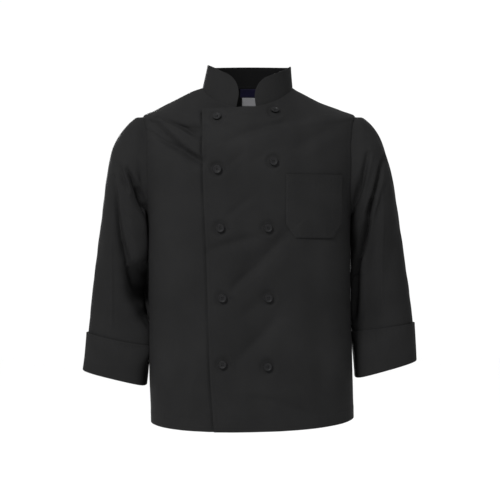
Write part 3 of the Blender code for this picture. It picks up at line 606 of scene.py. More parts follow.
def fold_height(folds, x, z):
    """How far the cloth stands out of the smooth surface, summed over a fold table."""
    total = np.zeros(np.broadcast(x, z).shape)
    steps = np.linspace(0, 1, FOLD_STEPS + 1)
    for n in range(len(folds["x1"])):
        run = folds["x2"][n] - folds["x1"][n]
        rise = folds["z2"][n] - folds["z1"][n]
        length = math.hypot(run, rise)
        bow = folds["bow"][n] * 4 * steps * (1 - steps)
        path_x = folds["x1"][n] + run * steps - rise / length * bow
        path_z = folds["z1"][n] + rise * steps + run / length * bow
        best = np.full(total.shape, np.inf)
        side = np.zeros(total.shape)
        place = np.zeros(total.shape)
        for k in range(FOLD_STEPS):
            dx, dz = path_x[k + 1] - path_x[k], path_z[k + 1] - path_z[k]
            off_x, off_z = x - path_x[k], z - path_z[k]
            share = np.clip((off_x * dx + off_z * dz) / (dx * dx + dz * dz), 0, 1)
            distance = np.hypot(off_x - share * dx, off_z - share * dz)
            nearer = distance < best
            best = np.where(nearer, distance, best)
            side = np.where(nearer, np.sign(off_z * dx - off_x * dz), side)
            place = np.where(nearer, (k + share) / FOLD_STEPS, place)
        signed = best * side / folds["width"][n]
        ridge = folds["ridge"][n]
        beside = np.abs(ridge) * np.exp(-(signed - RIDGE_PLACE * np.sign(ridge)) ** 2)
        fade = np.sin(np.pi * (FOLD_END + (1 - 2 * FOLD_END) * place)) ** FOLD_FADE
        total += folds["depth"][n] * fade * (beside - np.exp(-signed ** 2))
    return total


def waves(along, sizes, turn):
    """A sum of waves whose lengths share no common measure, so that they never repeat."""
    return sum(np.sin(2 * np.pi * along / size + turn * (n + 1)) for n, size in enumerate(sizes))


def hang(x, z, turn):
    """The slight unevenness of cloth that hangs: broad waves that run mostly up and down."""
    lean = x + 0.10 * z + 0.006 * np.sin(2 * np.pi * z / 0.23 + turn)
    return (waves(lean, HANG_BROAD, turn) * HANG_HEIGHTS[0]
            + waves(z + 0.25 * x, HANG_ACROSS, turn + 1.0) * HANG_HEIGHTS[1])


tables = FRONT_CREASES, BACK_CREASES, SLEEVE_LEFT_CREASES, SLEEVE_RIGHT_CREASES
print(sum(len(creases["x1"]) for creases in tables), "creases")

# %% [markdown]
# ## Seams
# Where two pieces are joined, the cloth is folded under and stitched down. It stands a little
# higher there, sinks along each row of stitches, and ripples because the thread pulls it in.
# One function gives that relief from the distance to any seam line, so every seam of the
# jacket gets it from the same few sizes.

# %% Seams
SEAM_STITCH = 0.0015         # from a plain seam to its stitches
ARMHOLE_STITCHES = (0.0015, 0.0070)
SHOULDER_STITCH = 0.0060     # on the back; in front the seam is plain
HEM_STITCH = 0.024
EDGE_STITCH = 0.007
GROOVE = 0.00028             # how far a row of stitches sinks into the cloth
GROOVE_WIDTH = 0.0009
LIFT_FALL = 0.0025           # in what width the turned cloth beside a seam thins out
RIPPLE_REACH = 0.010
RIPPLE_START = 0.002
RIPPLES = (0.0112, 0.0173, 0.0071)


def near_line(points, line):
    """Distance from each point to a line of points, and how far along it the nearest place is."""
    flat = points.reshape(-1, 3)
    length = run_length(line)
    best = np.full(len(flat), np.inf)
    along = np.zeros(len(flat))
    for k in range(len(line) - 1):
        way = line[k + 1] - line[k]
        share = np.clip((flat - line[k]) @ way / (way @ way), 0, 1)
        gap = np.linalg.norm(flat - line[k] - share[:, None] * way, axis=1)
        nearer = gap < best
        best = np.where(nearer, gap, best)
        along = np.where(nearer, length[k] + share * (length[k + 1] - length[k]), along)
    return best.reshape(points.shape[:-1]), along.reshape(points.shape[:-1])


def seam_relief(points, line, stitches, lift, ripple, turn):
    """Height of the cloth along a seam: stitches are the distances of its rows of stitches.

    Lift is the height of the turned cloth, ripple that of the waves beside it, and turn
    starts the waves at a place of their own.
    """
    gap, along = near_line(points, line)
    height = lift * (1 - ease((gap - stitches[-1]) / LIFT_FALL))
    for place in stitches:
        height = height - GROOVE * np.exp(-((gap - place) / GROOVE_WIDTH) ** 2)
    pull = np.exp(-((gap - stitches[-1]) / RIPPLE_REACH) ** 2)
    ripples = waves(along, RIPPLES, turn) / len(RIPPLES)
    return height + ripple * pull * ease(gap / RIPPLE_START) * ripples


LOW_TO_HIGH = np.linspace(0, UNDERARM_LEVEL, 60)
SHOULDER_TO_NECK = np.linspace(SHOULDER_LEVEL, NECK_LEVEL, 30)
ROUND_ARMHOLE = np.linspace(0, 1, 60)


def side_lines(depth, flip):
    """Armhole, side seam and shoulder seam of one side of a panel, which flip makes the right."""
    level, angle = armhole(ROUND_ARMHOLE, depth)
    angle = np.sign(depth) * angle
    side = np.pi if flip else 0.0
    return (torso(level, side - angle if flip else angle), torso(LOW_TO_HIGH, side),
            torso(SHOULDER_TO_NECK, side))


def side_seams(base, depth, flip, shoulder, turns):
    """Relief of those three seams; shoulder is the stitches and the lift of the third."""
    kinds = ((ARMHOLE_STITCHES, 0.0006, 0.00030), ((SEAM_STITCH,), 0.0002, 0.00030),
             (*shoulder, 0.00025))
    return sum(seam_relief(base, line, *kind, turn)
               for line, kind, turn in zip(side_lines(depth, flip), kinds, turns))


holes = [side_lines(depth, False)[0] for depth in (ARMHOLE_FRONT, -ARMHOLE_BACK)]
print("armhole measures", round(float(sum(run_length(hole)[-1] for hole in holes)), 3))

# %% [markdown]
# ## Front and back skins
# A skin is the outer face of a piece: any level and angle on the body in, a point in space out.
# It adds the folds, the creases and the seams to the smooth body. Folds die away at seams,
# where two pieces must meet, and at buttons, which hold the cloth flat.

# %% Front and back skins
FRONT_FADE, BACK_FADE, CREASE_FADE = 0.25, 0.6, 0.10    # at the armholes, as armhole_nearness
CREASE_CALM = 0.010
BUTTON_DENT = 0.0026         # how far a button's thread draws the cloth in round it
BUTTON_DENT_PLACE = 0.0125
BUTTON_DENT_REACH = 0.0040
EDGE_LIFT = 0.0007           # how far the over panel's free edge stands off
EDGE_LIFT_REACH = 0.007
EDGE_DIP = 0.0034            # how far the under panel sinks beside it
EDGE_DIP_REACH = 0.0048
LAP_TOP_Z = -0.0500          # the over panel's upper edge at its free edge
LAP_TOP_FADE = 0.008
LAP_OPEN_LEVEL, LAP_OPEN_RISE = 0.52, 0.1    # from where up the lap stands more open


def from_button(x, z):
    """Distance to the centre of the nearest button."""
    return np.hypot(x[..., None] - BUTTONS["x"], z[..., None] - BUTTONS["z"]).min(-1)


def calm(x, z):
    """1 on open cloth, falling to 0 at each button."""
    return ease((from_button(x, z) - BUTTON_RADIUS) / BUTTON_CALM)


def free_edge_angle(level, side):
    """Angle of a front's free edge at a level."""
    return angle_at_x(level, side * smooth(ring(level)["z_front"], FREE_EDGE["z"], FREE_EDGE["x"]))


def folds_of(base, level, angle, from_seam, folds, creases, fade, turn):
    """Folds and creases of a panel, with each kind fading in its own width at the seams."""
    x, z = base[..., 0], base[..., 2]
    total = 0.0
    for height, seam_calm, armhole_fade in (
            (fold_height(folds, x, z), SEAM_CALM, fade),
            (fold_height(creases, x, z) + hang(x, z, turn), CREASE_CALM, CREASE_FADE)):
        height = height * ease(from_seam / seam_calm) * ease((NECK_LEVEL - level) / seam_calm)
        total = total + height * (1 - armhole_nearness(level, angle, armhole_fade))
    return total


def free_edge(side):
    """Line of a front's free edge, from the hem up."""
    levels = np.linspace(0, NECK_LEVEL - 0.01, 60)
    return torso(levels, free_edge_angle(levels, side))


def hem_seam(base, start, stop, turn):
    """Relief of the hem between two angles."""
    return seam_relief(base, torso(0.0, np.linspace(start, stop, 60)), (HEM_STITCH,), 0.0004,
                       0.00030, turn)


def front_skin(level, angle, side, offset=0.0, tuck=0.0):
    """Outer face of a front; tuck is how far the place is tucked behind the over panel."""
    base = torso(level, angle)
    x, z = base[..., 0], base[..., 2]
    from_seam = np.minimum(angle, np.pi - angle) * ring(level)["front"]
    height = folds_of(base, level, angle, from_seam, FRONT_FOLDS, FRONT_CREASES, FRONT_FADE, 1.3)
    height = height * calm(x, z)
    height = height - tuck * (CLOTH + LAP_GAP + LAP_SLACK * np.abs(height))
    relief = side_seams(base, ARMHOLE_FRONT, side < 0, ((SEAM_STITCH,), 0.0003), (1.0, 2.0, 3.0))
    edge_seam = seam_relief(base, free_edge(side), (EDGE_STITCH,), 0.0004, 0.00025, 4.0)
    relief = relief + edge_seam * (1 - tuck) + hem_seam(base, 0, np.pi, 5.0)
    relief = relief * ease(calm(x, z) * 4)
    from_dent = from_button(x, z) - BUTTON_DENT_PLACE
    relief -= BUTTON_DENT * np.exp(-(from_dent / BUTTON_DENT_REACH) ** 2)
    edge_gap, edge_run = near_line(base, free_edge(1))
    uneven = 0.75 + 0.25 * waves(edge_run, (0.19, 0.083), 3.3) / 2
    uneven = uneven + 0.5 * ease((level - LAP_OPEN_LEVEL) / LAP_OPEN_RISE)
    uneven = uneven * ease((LAP_TOP_Z - z) / LAP_TOP_FADE)
    stand, reach = (EDGE_LIFT, EDGE_LIFT_REACH) if side > 0 else (-EDGE_DIP, EDGE_DIP_REACH)
    relief += stand * uneven * np.exp(-(edge_gap / reach) ** 2)
    return base + torso_normal(level, angle) * (height + relief + offset)[..., None]


def back_skin(level, angle, offset=0.0):
    """Outer face of the back."""
    base = torso(level, angle)
    from_seam = np.minimum(angle - np.pi, 2 * np.pi - angle) * ring(level)["back"]
    height = folds_of(base, level, angle, from_seam, BACK_FOLDS, BACK_CREASES, BACK_FADE, 2.9)
    relief = hem_seam(base, np.pi, 2 * np.pi, 6.0)
    for flip in (False, True):
        relief += side_seams(base, -ARMHOLE_BACK, flip, ((SHOULDER_STITCH,), 0.0004),
                             (7.0 + flip, 9.0 + flip, 11.0 + flip))
    return base + torso_normal(level, angle) * (height + relief + offset)[..., None]


# %% [markdown]
# ## From a skin to a piece of cloth
# A grid is added with as many squares as the cloth needs, and its points are moved onto the
# skin. Its UV map holds each point's place on the flat cut, in metres, so the weave keeps its
# size. Solidify then gives it the thickness of cloth, inwards, and Bevel rounds the raw edges.

# %% From a skin to a piece of cloth
CLOTH_EDGE = 0.0005          # radius of a turned edge


def bevel(thing, width, angle):
    """Round the edges of the active object that are sharper than an angle in degrees."""
    edge = thing.modifiers.new("edge", "BEVEL")
    edge.width = width
    edge.segments = 2
    edge.limit_method = "ANGLE"
    edge.angle_limit = math.radians(angle)
    bpy.ops.object.modifier_apply(modifier="edge")


def flat_cut(points, start=0, level_rows=True):
    """Places on the flat cut: distance across from one column, and up from the first row.

    With level rows, the whole row is as far up as its middle point.
    """
    across = np.linalg.norm(np.diff(points, axis=1), axis=-1).cumsum(axis=1)
    across = np.pad(across, ((0, 0), (1, 0)))
    up = np.linalg.norm(np.diff(points, axis=0), axis=-1).cumsum(axis=0)
    up = np.pad(up, ((1, 0), (0, 0)))
    if level_rows:
        up = np.broadcast_to(up[:, points.shape[1] // 2, None], up.shape)
    return np.stack((across - across[:, start:start + 1], up), -1)


def cloth(name, points, cut, thickness, material=black_twill, inside_out=False, closed=False,
          offset=-1.0, inside=None):
    """A piece of cloth laid through a grid of points, with a wall and rounded edges.

    A closed grid is a tube. Offset is where the wall lies: -1 inside the points, 0 half way.
    """
    if closed:
        points = np.concatenate((points, points[:, :1]), axis=1)
    rows, columns = points.shape[:2]
    bpy.ops.object.select_all(action="DESELECT")
    bpy.ops.mesh.primitive_grid_add(x_subdivisions=columns - 1, y_subdivisions=rows - 1, size=1)
    piece = bpy.context.object
    piece.name = name
    mesh = piece.data
    if len(mesh.vertices) != rows * columns:
        raise ValueError(f"{name}: the grid has {len(mesh.vertices)} points, not {rows * columns}")
    mesh.vertices.foreach_set("co", points.reshape(-1).astype(np.float32))
    corner = np.empty(len(mesh.loops), np.int32)
    mesh.loops.foreach_get("vertex_index", corner)
    mesh.uv_layers[0].name = "cut"
    mesh.uv_layers["cut"].data.foreach_set(
        "uv", cut.reshape(-1, 2)[corner].reshape(-1).astype(np.float32))
    bpy.ops.object.mode_set(mode="EDIT")
    bpy.ops.mesh.select_all(action="SELECT")
    if closed:
        bpy.ops.mesh.remove_doubles(threshold=1e-6)
    if inside_out:
        bpy.ops.mesh.flip_normals()
    bpy.ops.object.mode_set(mode="OBJECT")
    # A second material, when given, goes on the inner faces; the darker inside twill there is
    # painted shade.
    for finish in (material, inside):
        if finish:
            mesh.materials.append(finish)
    wall = piece.modifiers.new("wall", "SOLIDIFY")
    wall.thickness = thickness
    wall.offset = offset
    wall.use_even_offset = False
    wall.material_offset = 1 if inside else 0
    bpy.ops.object.modifier_apply(modifier="wall")
    bevel(piece, CLOTH_EDGE, 60)
    bpy.ops.object.shade_smooth()
    piece.data.calc_loop_triangles()
    print(name, rows, "x", columns, "points,", len(piece.data.loop_triangles), "triangles")
    return piece


def declare(piece, nodes):
    """Tell the frame what the piece is: its body, and the nodes that it replaces, which are
    hidden.
    """
    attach(piece, "root")
    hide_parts(*nodes)


# %% [markdown]
# ## Fronts and back
# The panels share their rows, so their edges meet point for point. The rows lie closer round
# the hem's stitches, and the columns closer at each side, where the seams need it.

# %% Fronts and back
SEAM_STEP = 0.0001           # half of the slit between two joined pieces
COLLAR_END_LEFT = 0.015      # x of the collar's two ends
COLLAR_END_RIGHT = -0.027
NECKLINE_END_Z = -0.0475     # a front's upper edge at the collar's end
NECKLINE_FALL = 0.045        # and how far it falls for each step beyond
TUCK_START_X = -0.165        # from where, and over what width, the under panel is tucked in
TUCK_WIDTH = 0.055
TUCK_ANGLE = 0.55
ROW_STEP = 0.0042
EDGE_PLACES = np.linspace(0, 0.012, 13)  # columns beside a panel's edge
FRONT_ROWS = (104, 56)       # rows beside the armhole and above it
BACK_ROWS = (66, 38)
FRONT_COLUMNS = {1: 92, -1: 96}
BACK_COLUMNS = 100


def spaced(length, step, marks, fine_step, reach):
    """Places from 0 to a length, a step apart, and closer together round each mark."""
    places = [0.0]
    while places[-1] < length:
        near = min(abs(places[-1] - mark) for mark in marks) < reach
        places.append(places[-1] + (fine_step if near else step))
    return np.array(places) * length / places[-1]


def panel_rows(beside_armhole, above_armhole):
    """Levels of a panel's rows, and how far round the armhole each one is (or nan)."""
    low = spaced(UNDERARM_LEVEL, ROW_STEP, (0.0, HEM_STITCH), 0.0012, 0.004)[:-1]
    way = np.linspace(1, 0, beside_armhole)
    high = SHOULDER_LEVEL + np.linspace(0, NECK_LEVEL - SHOULDER_LEVEL, above_armhole)[1:]
    levels = np.concatenate((low, armhole(way, ARMHOLE_FRONT)[0], high))
    return levels, np.concatenate((low * np.nan, way, high * np.nan))


def side_edge(levels, ways, depth):
    """Angle from the side seam of a panel's edge, row by row."""
    half_gap = SEAM_STEP / ring(levels)["front"]
    edge = armhole(np.nan_to_num(ways), depth)[1]
    return np.where(np.isnan(ways), half_gap, np.maximum(edge, half_gap))


def shares_across(levels, start, stop, middle_columns):
    """Columns of each row as shares of its way across: closer together at both edges."""
    sample = np.linspace(0, 1, 160)
    line = torso(levels[:, None], start[:, None] + (stop - start)[:, None] * sample)
    length = np.linalg.norm(np.diff(line, axis=1), axis=-1).cumsum(axis=1)
    shares = []
    for row in length:
        full = np.concatenate(([0.0], row))
        middle = np.linspace(EDGE_PLACES[-1], full[-1] - EDGE_PLACES[-1], middle_columns + 2)
        places = np.concatenate((EDGE_PLACES, middle[1:-1], full[-1] - EDGE_PLACES[::-1]))
        shares.append(np.interp(places, full, sample))
    return np.array(shares)


def front_panel(side):
    """Levels and angles of one front: side is 1 for the wearer's left, -1 for the right."""
    levels, ways = panel_rows(*FRONT_ROWS)
    outer = side_edge(levels, ways, ARMHOLE_FRONT)
    outer = outer if side > 0 else np.pi - outer
    across = shares_across(levels, free_edge_angle(levels, side), outer, FRONT_COLUMNS[side])
    end_x = COLLAR_END_LEFT if side > 0 else COLLAR_END_RIGHT

    def angles(at_levels, outer_angle, share):
        edge = free_edge_angle(at_levels, side)
        return edge + (outer_angle - edge) * share

    def is_below_neckline(at_levels):
        place = torso(at_levels, angles(at_levels, outer[-1], sample))
        past = (end_x - place[:, 0]) * np.sign(end_x)
        return place[:, 2] < np.where(past > 0, NECKLINE_END_Z - NECKLINE_FALL * past, np.inf)

    sample = np.linspace(0, 1, 200)
    highest = halve(is_below_neckline, SHOULDER_LEVEL + 0 * sample, NECK_LEVEL + 0 * sample)
    top = np.interp(across, sample, highest)
    rise = np.clip((levels - SHOULDER_LEVEL) / (NECK_LEVEL - SHOULDER_LEVEL), 0, 1)[:, None]
    level_grid = levels[:, None] + rise * (top - NECK_LEVEL)
    return level_grid, angles(level_grid, outer[:, None], across)


def tucked(x, angle):
    """1 where the under panel lies inside the over panel, falling to 0 towards its seams."""
    return ease((x - TUCK_START_X) / TUCK_WIDTH) * ease((np.pi - angle) / TUCK_ANGLE)


def front_hung(level, angle, side):
    """Outer face of a front as it hangs, with the under panel tucked in."""
    tuck = tucked(torso(level, angle)[..., 0], angle) if side < 0 else 0.0
    return front_skin(level, angle, side, tuck=tuck)


fronts = {}
for side, name in SIDES:
    points = front_hung(*front_panel(side), side)
    cut = flat_cut(points)
    fronts[side] = cloth(f"front_{name}_cloth", points, cut, CLOTH, inside_out=side < 0,
                         inside=painted_shade_inside)
    declare(fronts[side], [f"front_{name}"])

levels, ways = panel_rows(*BACK_ROWS)
edge = side_edge(levels, ways, -ARMHOLE_BACK)
across = shares_across(levels, np.pi + edge, 2 * np.pi - edge, BACK_COLUMNS)
angle = (np.pi + edge)[:, None] + (np.pi - 2 * edge)[:, None] * across
points = back_skin(np.broadcast_to(levels[:, None], angle.shape), angle)
cut = flat_cut(points, start=points.shape[1] // 2)
back = cloth("back_cloth", points, cut, CLOTH, inside_out=True, inside=painted_shade_inside)
declare(back, ["back"])

# %% [markdown]
# ## Sleeves
# A sleeve is a tube drawn through its sections, from the armhole down to the wrist. Where it
# lies against the body, or hangs back from it, a table of presses moves it.

# %% Sleeves
CUFF_TOP = 0.775             # where the turned-back cuff ends, as a share of the sleeve
CUFF_RETURN = 0.975          # where its inner layer ends
CUFF_LAP = 0.0016            # between the cuff and the sleeve inside it
CUFF_CLEAR = 0.02            # folds end this far above the cuff
CALMS = {"folds": (0.12, 0.08), "creases": (0.05, 0.04)}     # fading at armhole and cuff
SEAMS_CALM = 0.03
SLEEVE_HANG = 0.7            # how uneven a sleeve's cloth is, as a share of the body's
SLEEVE_START = 0.0001        # the visible sleeve starts this near the armhole
SLEEVE_CORNER = 3.0          # how much squarer the inner front corner is than the rest
AROUND = 192                 # points round a sleeve
SLEEVE_LENGTH = 0.56         # metres down the middle of a sleeve, to place its rows
TURNS = np.mod(np.pi + np.linspace(0, 2 * np.pi, AROUND, endpoint=False), 2 * np.pi)

# Where a sleeve is pressed to the body's side or falls back from it: the place's height and
# its turn round the tube (0 outside, 90 in front, 180 inside), how far the press reaches each
# way, and how far it moves the cloth towards the body and towards the back.
PRESSES = table(
    "side z z_reach turn turn_reach inward backward",
    (-1, -318, 64, 133, 16, 12, 0),
    (-1, -555, 46, 135, 18, 16, 0),
    (-1, -430, 43, 142, 27, -7, 48),
    (-1, -474, 40, 150, 20, -4, 33),
    (-1, -300, 30, 180, 40, 3, 0),
    (1, -300, 34, 180, 45, 5, 0),
    (1, -430, 140, 132, 28, -7, 24),
    (1, -514, 40, 180, 42, 3.5, 0),
)


def pressed(side, grid):
    """The smooth tube, moved where it is pressed to the body or falls back from it."""
    turn = np.degrees(TURNS)
    for n in np.flatnonzero(PRESSES["side"] == side):
        here = {name: column[n] for name, column in PRESSES.items()}
        share = np.exp(-((grid[..., 2] - here["z"]) / here["z_reach"]) ** 4)
        share = share * np.exp(-((turn - here["turn"]) / here["turn_reach"]) ** 2)
        grid[..., 0] -= side * here["inward"] * share
        grid[..., 1] += here["backward"] * share
    return grid


def rounded(turn, square):
    """Cosine and sine of a turn, drawn out from a circle (2) towards a square (more)."""
    cosine, sine = np.cos(turn), np.sin(turn)
    reach = (np.abs(cosine) ** square + np.abs(sine) ** square) ** (-1 / square)
    return cosine * reach, sine * reach


def sleeve_base(side, rows):
    """The smooth tube: a ring of points for each row."""
    sections = SLEEVE_LEFT if side > 0 else SLEEVE_RIGHT
    in_front = TURNS <= np.pi
    way = np.where(in_front, TURNS, 2 * np.pi - TURNS) / np.pi
    level_front, angle_front = armhole(way, ARMHOLE_FRONT, SLEEVE_START)
    level_back, angle_back = armhole(way, -ARMHOLE_BACK, SLEEVE_START)
    first = torso(np.where(in_front, level_front, level_back),
                  np.where(in_front, angle_front, -angle_back))
    first[:, 0] += SLEEVE_START
    arm = {name: column[:, None] for name, column in sections.items()}
    corner = ease(-np.cos(TURNS)) * ease(np.sin(TURNS))
    square = arm["square"] + SLEEVE_CORNER * (arm["square"] - 2) * corner
    cosine, sine = rounded(TURNS, square)
    across = (1 + cosine) / 2
    x = arm["inner_x"] + (arm["outer_x"] - arm["inner_x"]) * across
    z = arm["inner_z"] + (arm["outer_z"] - arm["inner_z"]) * across
    y = arm["centre_y"] - arm["half_depth"] * sine
    rings = np.concatenate((first[None], np.stack((x, y, z), -1)))
    rings[..., 0] *= side
    places = np.concatenate(([0.0], sections["row"]))
    columns = rings.reshape(len(places), -1).T
    grid = np.stack([smooth(rows, places, column) for column in columns], -1)
    return pressed(side, grid.reshape(len(rows), AROUND, 3))


def closed_line(points):
    """A ring of points with its first one once more at its end."""
    return np.concatenate((points, points[:1]))


def facing_out(side, points, down):
    """Outward normals round a sleeve, from its rings and the way down it."""
    ahead = np.roll(points, -1, axis=-2) - np.roll(points, 1, axis=-2)
    return unit(side * np.cross(ahead, down))


def sleeve_skin(side, rows):
    """Outer face of a sleeve with its folds, creases and seams."""
    folds = SLEEVE_LEFT_FOLDS if side > 0 else SLEEVE_RIGHT_FOLDS
    creases = SLEEVE_LEFT_CREASES if side > 0 else SLEEVE_RIGHT_CREASES
    grid = sleeve_base(side, rows)
    normal = facing_out(side, grid, np.gradient(grid, axis=0))
    x, z = grid[..., 0], grid[..., 2]
    heights = {"folds": np.zeros(x.shape),
               "creases": hang(grid[..., 1] + side * z, x, 4.0 + side) * SLEEVE_HANG}
    above_cuff = CUFF_TOP - CUFF_CLEAR - rows
    for kind, source in (("folds", folds), ("creases", creases)):
        for face in (-1, 1):
            chosen = {name: column[source["face"] == face] for name, column in source.items()}
            heights[kind] += ease(normal[..., 1] * face * 2) * fold_height(chosen, x, z)
        calms = CALMS[kind]
        heights[kind] *= (ease(rows / calms[0]) * ease(above_cuff / calms[1]))[:, None]
    relief = seam_relief(grid, grid[:, 0], (SEAM_STITCH,), 0.0002, 0.0004, 13.0)
    relief += seam_relief(grid, closed_line(grid[0]), (SEAM_STITCH,), 0.0004, 0.0003, 1.0)
    relief *= ease(above_cuff / SEAMS_CALM)[:, None]
    return grid + normal * (heights["folds"] + heights["creases"] + relief)[..., None]


def tube_cut(points):
    """Places on the flat cut of a tube that is opened along its first column, its seam."""
    opened = np.concatenate((points, points[:, :1]), axis=1)
    return flat_cut(opened[::-1], start=AROUND // 2, level_rows=False)[::-1]


rows = spaced(SLEEVE_LENGTH, 0.0032, (0.0, SLEEVE_LENGTH), 0.0012, 0.008) / SLEEVE_LENGTH
for side, name in SIDES:
    points = sleeve_skin(side, rows)
    cut = tube_cut(points)
    sleeve = cloth(f"sleeve_{name}_cloth", points, cut, CLOTH, inside_out=side < 0,
                   closed=True, inside=painted_shade_inside)
    declare(sleeve, [f"sleeve_{name}"])

# %% [markdown]
# ## Cuffs
# The cuff is a band sewn to the sleeve's end and turned back outside it, so it folds under the
# edge and returns a little way inside. Its free edge stands off the sleeve, here more and
# there less.

# %% Cuffs
CUFF_STITCH = 0.006
CUFF_ROWS = 40
CUFF_FOLD_STEPS = 12
CUFF_WAVES = (3, 5, 8)       # how many times each wave goes round the cuff's free edge
CUFF_WAVE_HEIGHT = 0.00035


def cuff_grid(side):
    """Rings of the turned-back cuff: down its outside, round the fold and up inside."""
    skin = sleeve_skin(side, np.linspace(CUFF_TOP, 1.0, CUFF_ROWS))
    inner = sleeve_skin(side, np.linspace(1.0, CUFF_RETURN, 6)[:0:-1])
    down = unit(skin[-1] - skin[-2])
    normal = facing_out(side, skin[-1], down)
    outside = CUFF_LAP + CUFF_CLOTH / 2
    inside = -(CLOTH + GAP + CUFF_CLOTH / 2)
    radius = (outside - inside) / 2
    bends = np.linspace(0, np.pi, CUFF_FOLD_STEPS + 1)[1:-1]
    rings = [ring_points + normal * outside + down * GAP for ring_points in skin]
    for turn in bends:
        out = inside + radius * (1 + math.cos(turn))
        rings.append(skin[-1] + normal * out + down * (radius * math.sin(turn) + GAP))
    rings.append(skin[-1] + normal * inside + down * GAP)
    rings += [ring_points + normal * inside + down * GAP for ring_points in inner[::-1]]
    grid = np.array(rings)
    outer, edge = grid[:CUFF_ROWS], closed_line(grid[0])
    relief = np.zeros(grid.shape[:2])
    relief[:CUFF_ROWS] = seam_relief(outer, edge, (CUFF_STITCH,), 0.0003, 0.0003, 17.0)
    relief[:CUFF_ROWS] += seam_relief(outer, outer[:, 0], (SEAM_STITCH,), 0.0002, 0.0003, 18.0)
    along = run_length(edge)[:AROUND]
    wobble = waves(along, [along[-1] / count for count in CUFF_WAVES], 2.0 + side)
    fall = np.concatenate((np.linspace(1, 0, CUFF_ROWS), np.zeros(len(rings) - CUFF_ROWS)))
    relief += np.abs(wobble * CUFF_WAVE_HEIGHT)[None, :] * fall[:, None]
    return grid + normal * relief[..., None]


cuffs = {}
for side, name in SIDES:
    points = cuff_grid(side)
    cut = tube_cut(points)
    cuffs[side] = cloth(f"cuff_{name}_cloth", points, cut, CUFF_CLOTH, inside_out=side < 0,
                        closed=True, offset=0.0)
    declare(cuffs[side], [f"cuff_{name}"])

# %% [markdown]
# ## Collar
# A stand collar is a band, stiff with interlining, that is sewn to the neckline. It stands on
# the sloping neck seam, leans in a little, and is taller towards its rounded front ends.

# %% Collar
COLLAR_HEIGHT = 0.046
COLLAR_RAISES = (0.0155, 0.012)      # how much taller the band is at its right and left end
COLLAR_RAISE_REACHES = (0.19, 0.14)  # over what length each of them fades
COLLAR_END_RUN = 0.062       # how long and how tall the rounding of each end is
COLLAR_END_RISE = 0.040
COLLAR_LEAN = 3.0            # degrees that the band leans in, and how many more at each side
COLLAR_LEAN_LEFT = 1.5
COLLAR_LEAN_RIGHT = 9.5
COLLAR_HALF_WIDTH = 0.1
COLLAR_STITCH = 0.0055
NECK_STITCH = 0.0030
COLLAR_ROOT = 0.0012         # how far the lower edge reaches down between the panels
COLLAR_ROOT_INSET = 0.0005
COLLAR_ROWS = 30
COLLAR_COLUMNS = 190
COLLAR_CROWDING = 1.6        # how much closer its rows lie towards the top


def collar_seam():
    """The collar's lower edge, from the wearer's right end round the back to the left.

    Gives its points, the way up the collar, the way out of it, how far the smooth neckline is
    from where the tucked panel lies, and its running length.
    """
    start = angle_at_x(NECK_LEVEL, COLLAR_END_RIGHT)
    stop = 2 * np.pi + angle_at_x(NECK_LEVEL, COLLAR_END_LEFT)
    angle = np.linspace(start, stop, 600)
    seam = torso(NECK_LEVEL, np.mod(angle, 2 * np.pi))
    along = unit(np.gradient(seam, axis=0))
    out = unit(np.stack((-along[:, 1], along[:, 0], 0 * along[:, 0]), -1))
    out *= np.sign((out * seam).sum(-1))[:, None]
    up = np.cross(along, out)
    up *= np.sign(up[:, 2])[:, None]
    more = np.where(seam[:, 0] < 0, COLLAR_LEAN_RIGHT, COLLAR_LEAN_LEFT)
    lean = np.radians(COLLAR_LEAN + more * np.abs(seam[:, 0]) / COLLAR_HALF_WIDTH)
    rise = up * np.cos(lean)[:, None] - out * np.sin(lean)[:, None]
    tuck = np.where(angle < np.pi, tucked(seam[:, 0], angle), 0.0)[:, None] * (CLOTH + LAP_GAP)
    settle = tuck * (out - torso_normal(NECK_LEVEL, np.mod(angle, 2 * np.pi)))
    seam = seam - out * tuck
    return seam, rise, out, settle, run_length(seam)


COLLAR_SEAM, COLLAR_RISE, COLLAR_OUT, COLLAR_SETTLE, COLLAR_RUN = collar_seam()


def collar_height(place):
    """Height of the band at a place along its seam."""
    height = COLLAR_HEIGHT + COLLAR_RAISES[0] * (1 - ease(place / COLLAR_RAISE_REACHES[0]))
    away = COLLAR_RUN[-1] - place
    return height + COLLAR_RAISES[1] * (1 - ease(away / COLLAR_RAISE_REACHES[1]))


def between_ends(share):
    """Where the band starts and stops along its seam, at a share of its height."""
    recesses = []
    for end in (0.0, COLLAR_RUN[-1]):
        above = np.clip(1 - (1 - share) * collar_height(end) / COLLAR_END_RISE, 0, 1)
        recesses.append(COLLAR_END_RUN * (1 - np.sqrt(1 - above ** 2)))
    return recesses[0], COLLAR_RUN[-1] - recesses[1]


def on_collar(place, height):
    """Point on the smooth band, and the way out of it."""
    seam, rise, out, settle = (along_line(place, COLLAR_RUN, lines) for lines in
                               (COLLAR_SEAM, COLLAR_RISE, COLLAR_OUT, COLLAR_SETTLE))
    upper = ease(height / COLLAR_HEIGHT)[..., None]
    out = unit(out)
    inside = COLLAR_ROOT_INSET * (1 - ease(height / COLLAR_ROOT))[..., None]
    point = seam + settle * (1 - upper) + rise * (2 * GAP * upper + height[..., None])
    return point - out * inside, out


def collar_rim(inset=0.0):
    """A line that keeps its distance to the collar's edge: up one end, along the top, down."""
    share = 1 - (1 - np.linspace(0, 1, 40)) ** 2
    start, stop = between_ends(share)
    top = np.linspace(start[-1], stop[-1], 120)[1:-1]
    place = np.concatenate((start, top, stop[::-1]))
    height = np.concatenate((share, 0 * top + 1, share[::-1])) * collar_height(place)
    way = unit(np.gradient(np.stack((place, height), -1), axis=0))
    place, height = place + inset * way[:, 1], height - inset * way[:, 0]
    return place[height > 0], height[height > 0]


COLLAR_RIM = on_collar(*collar_rim())[0]


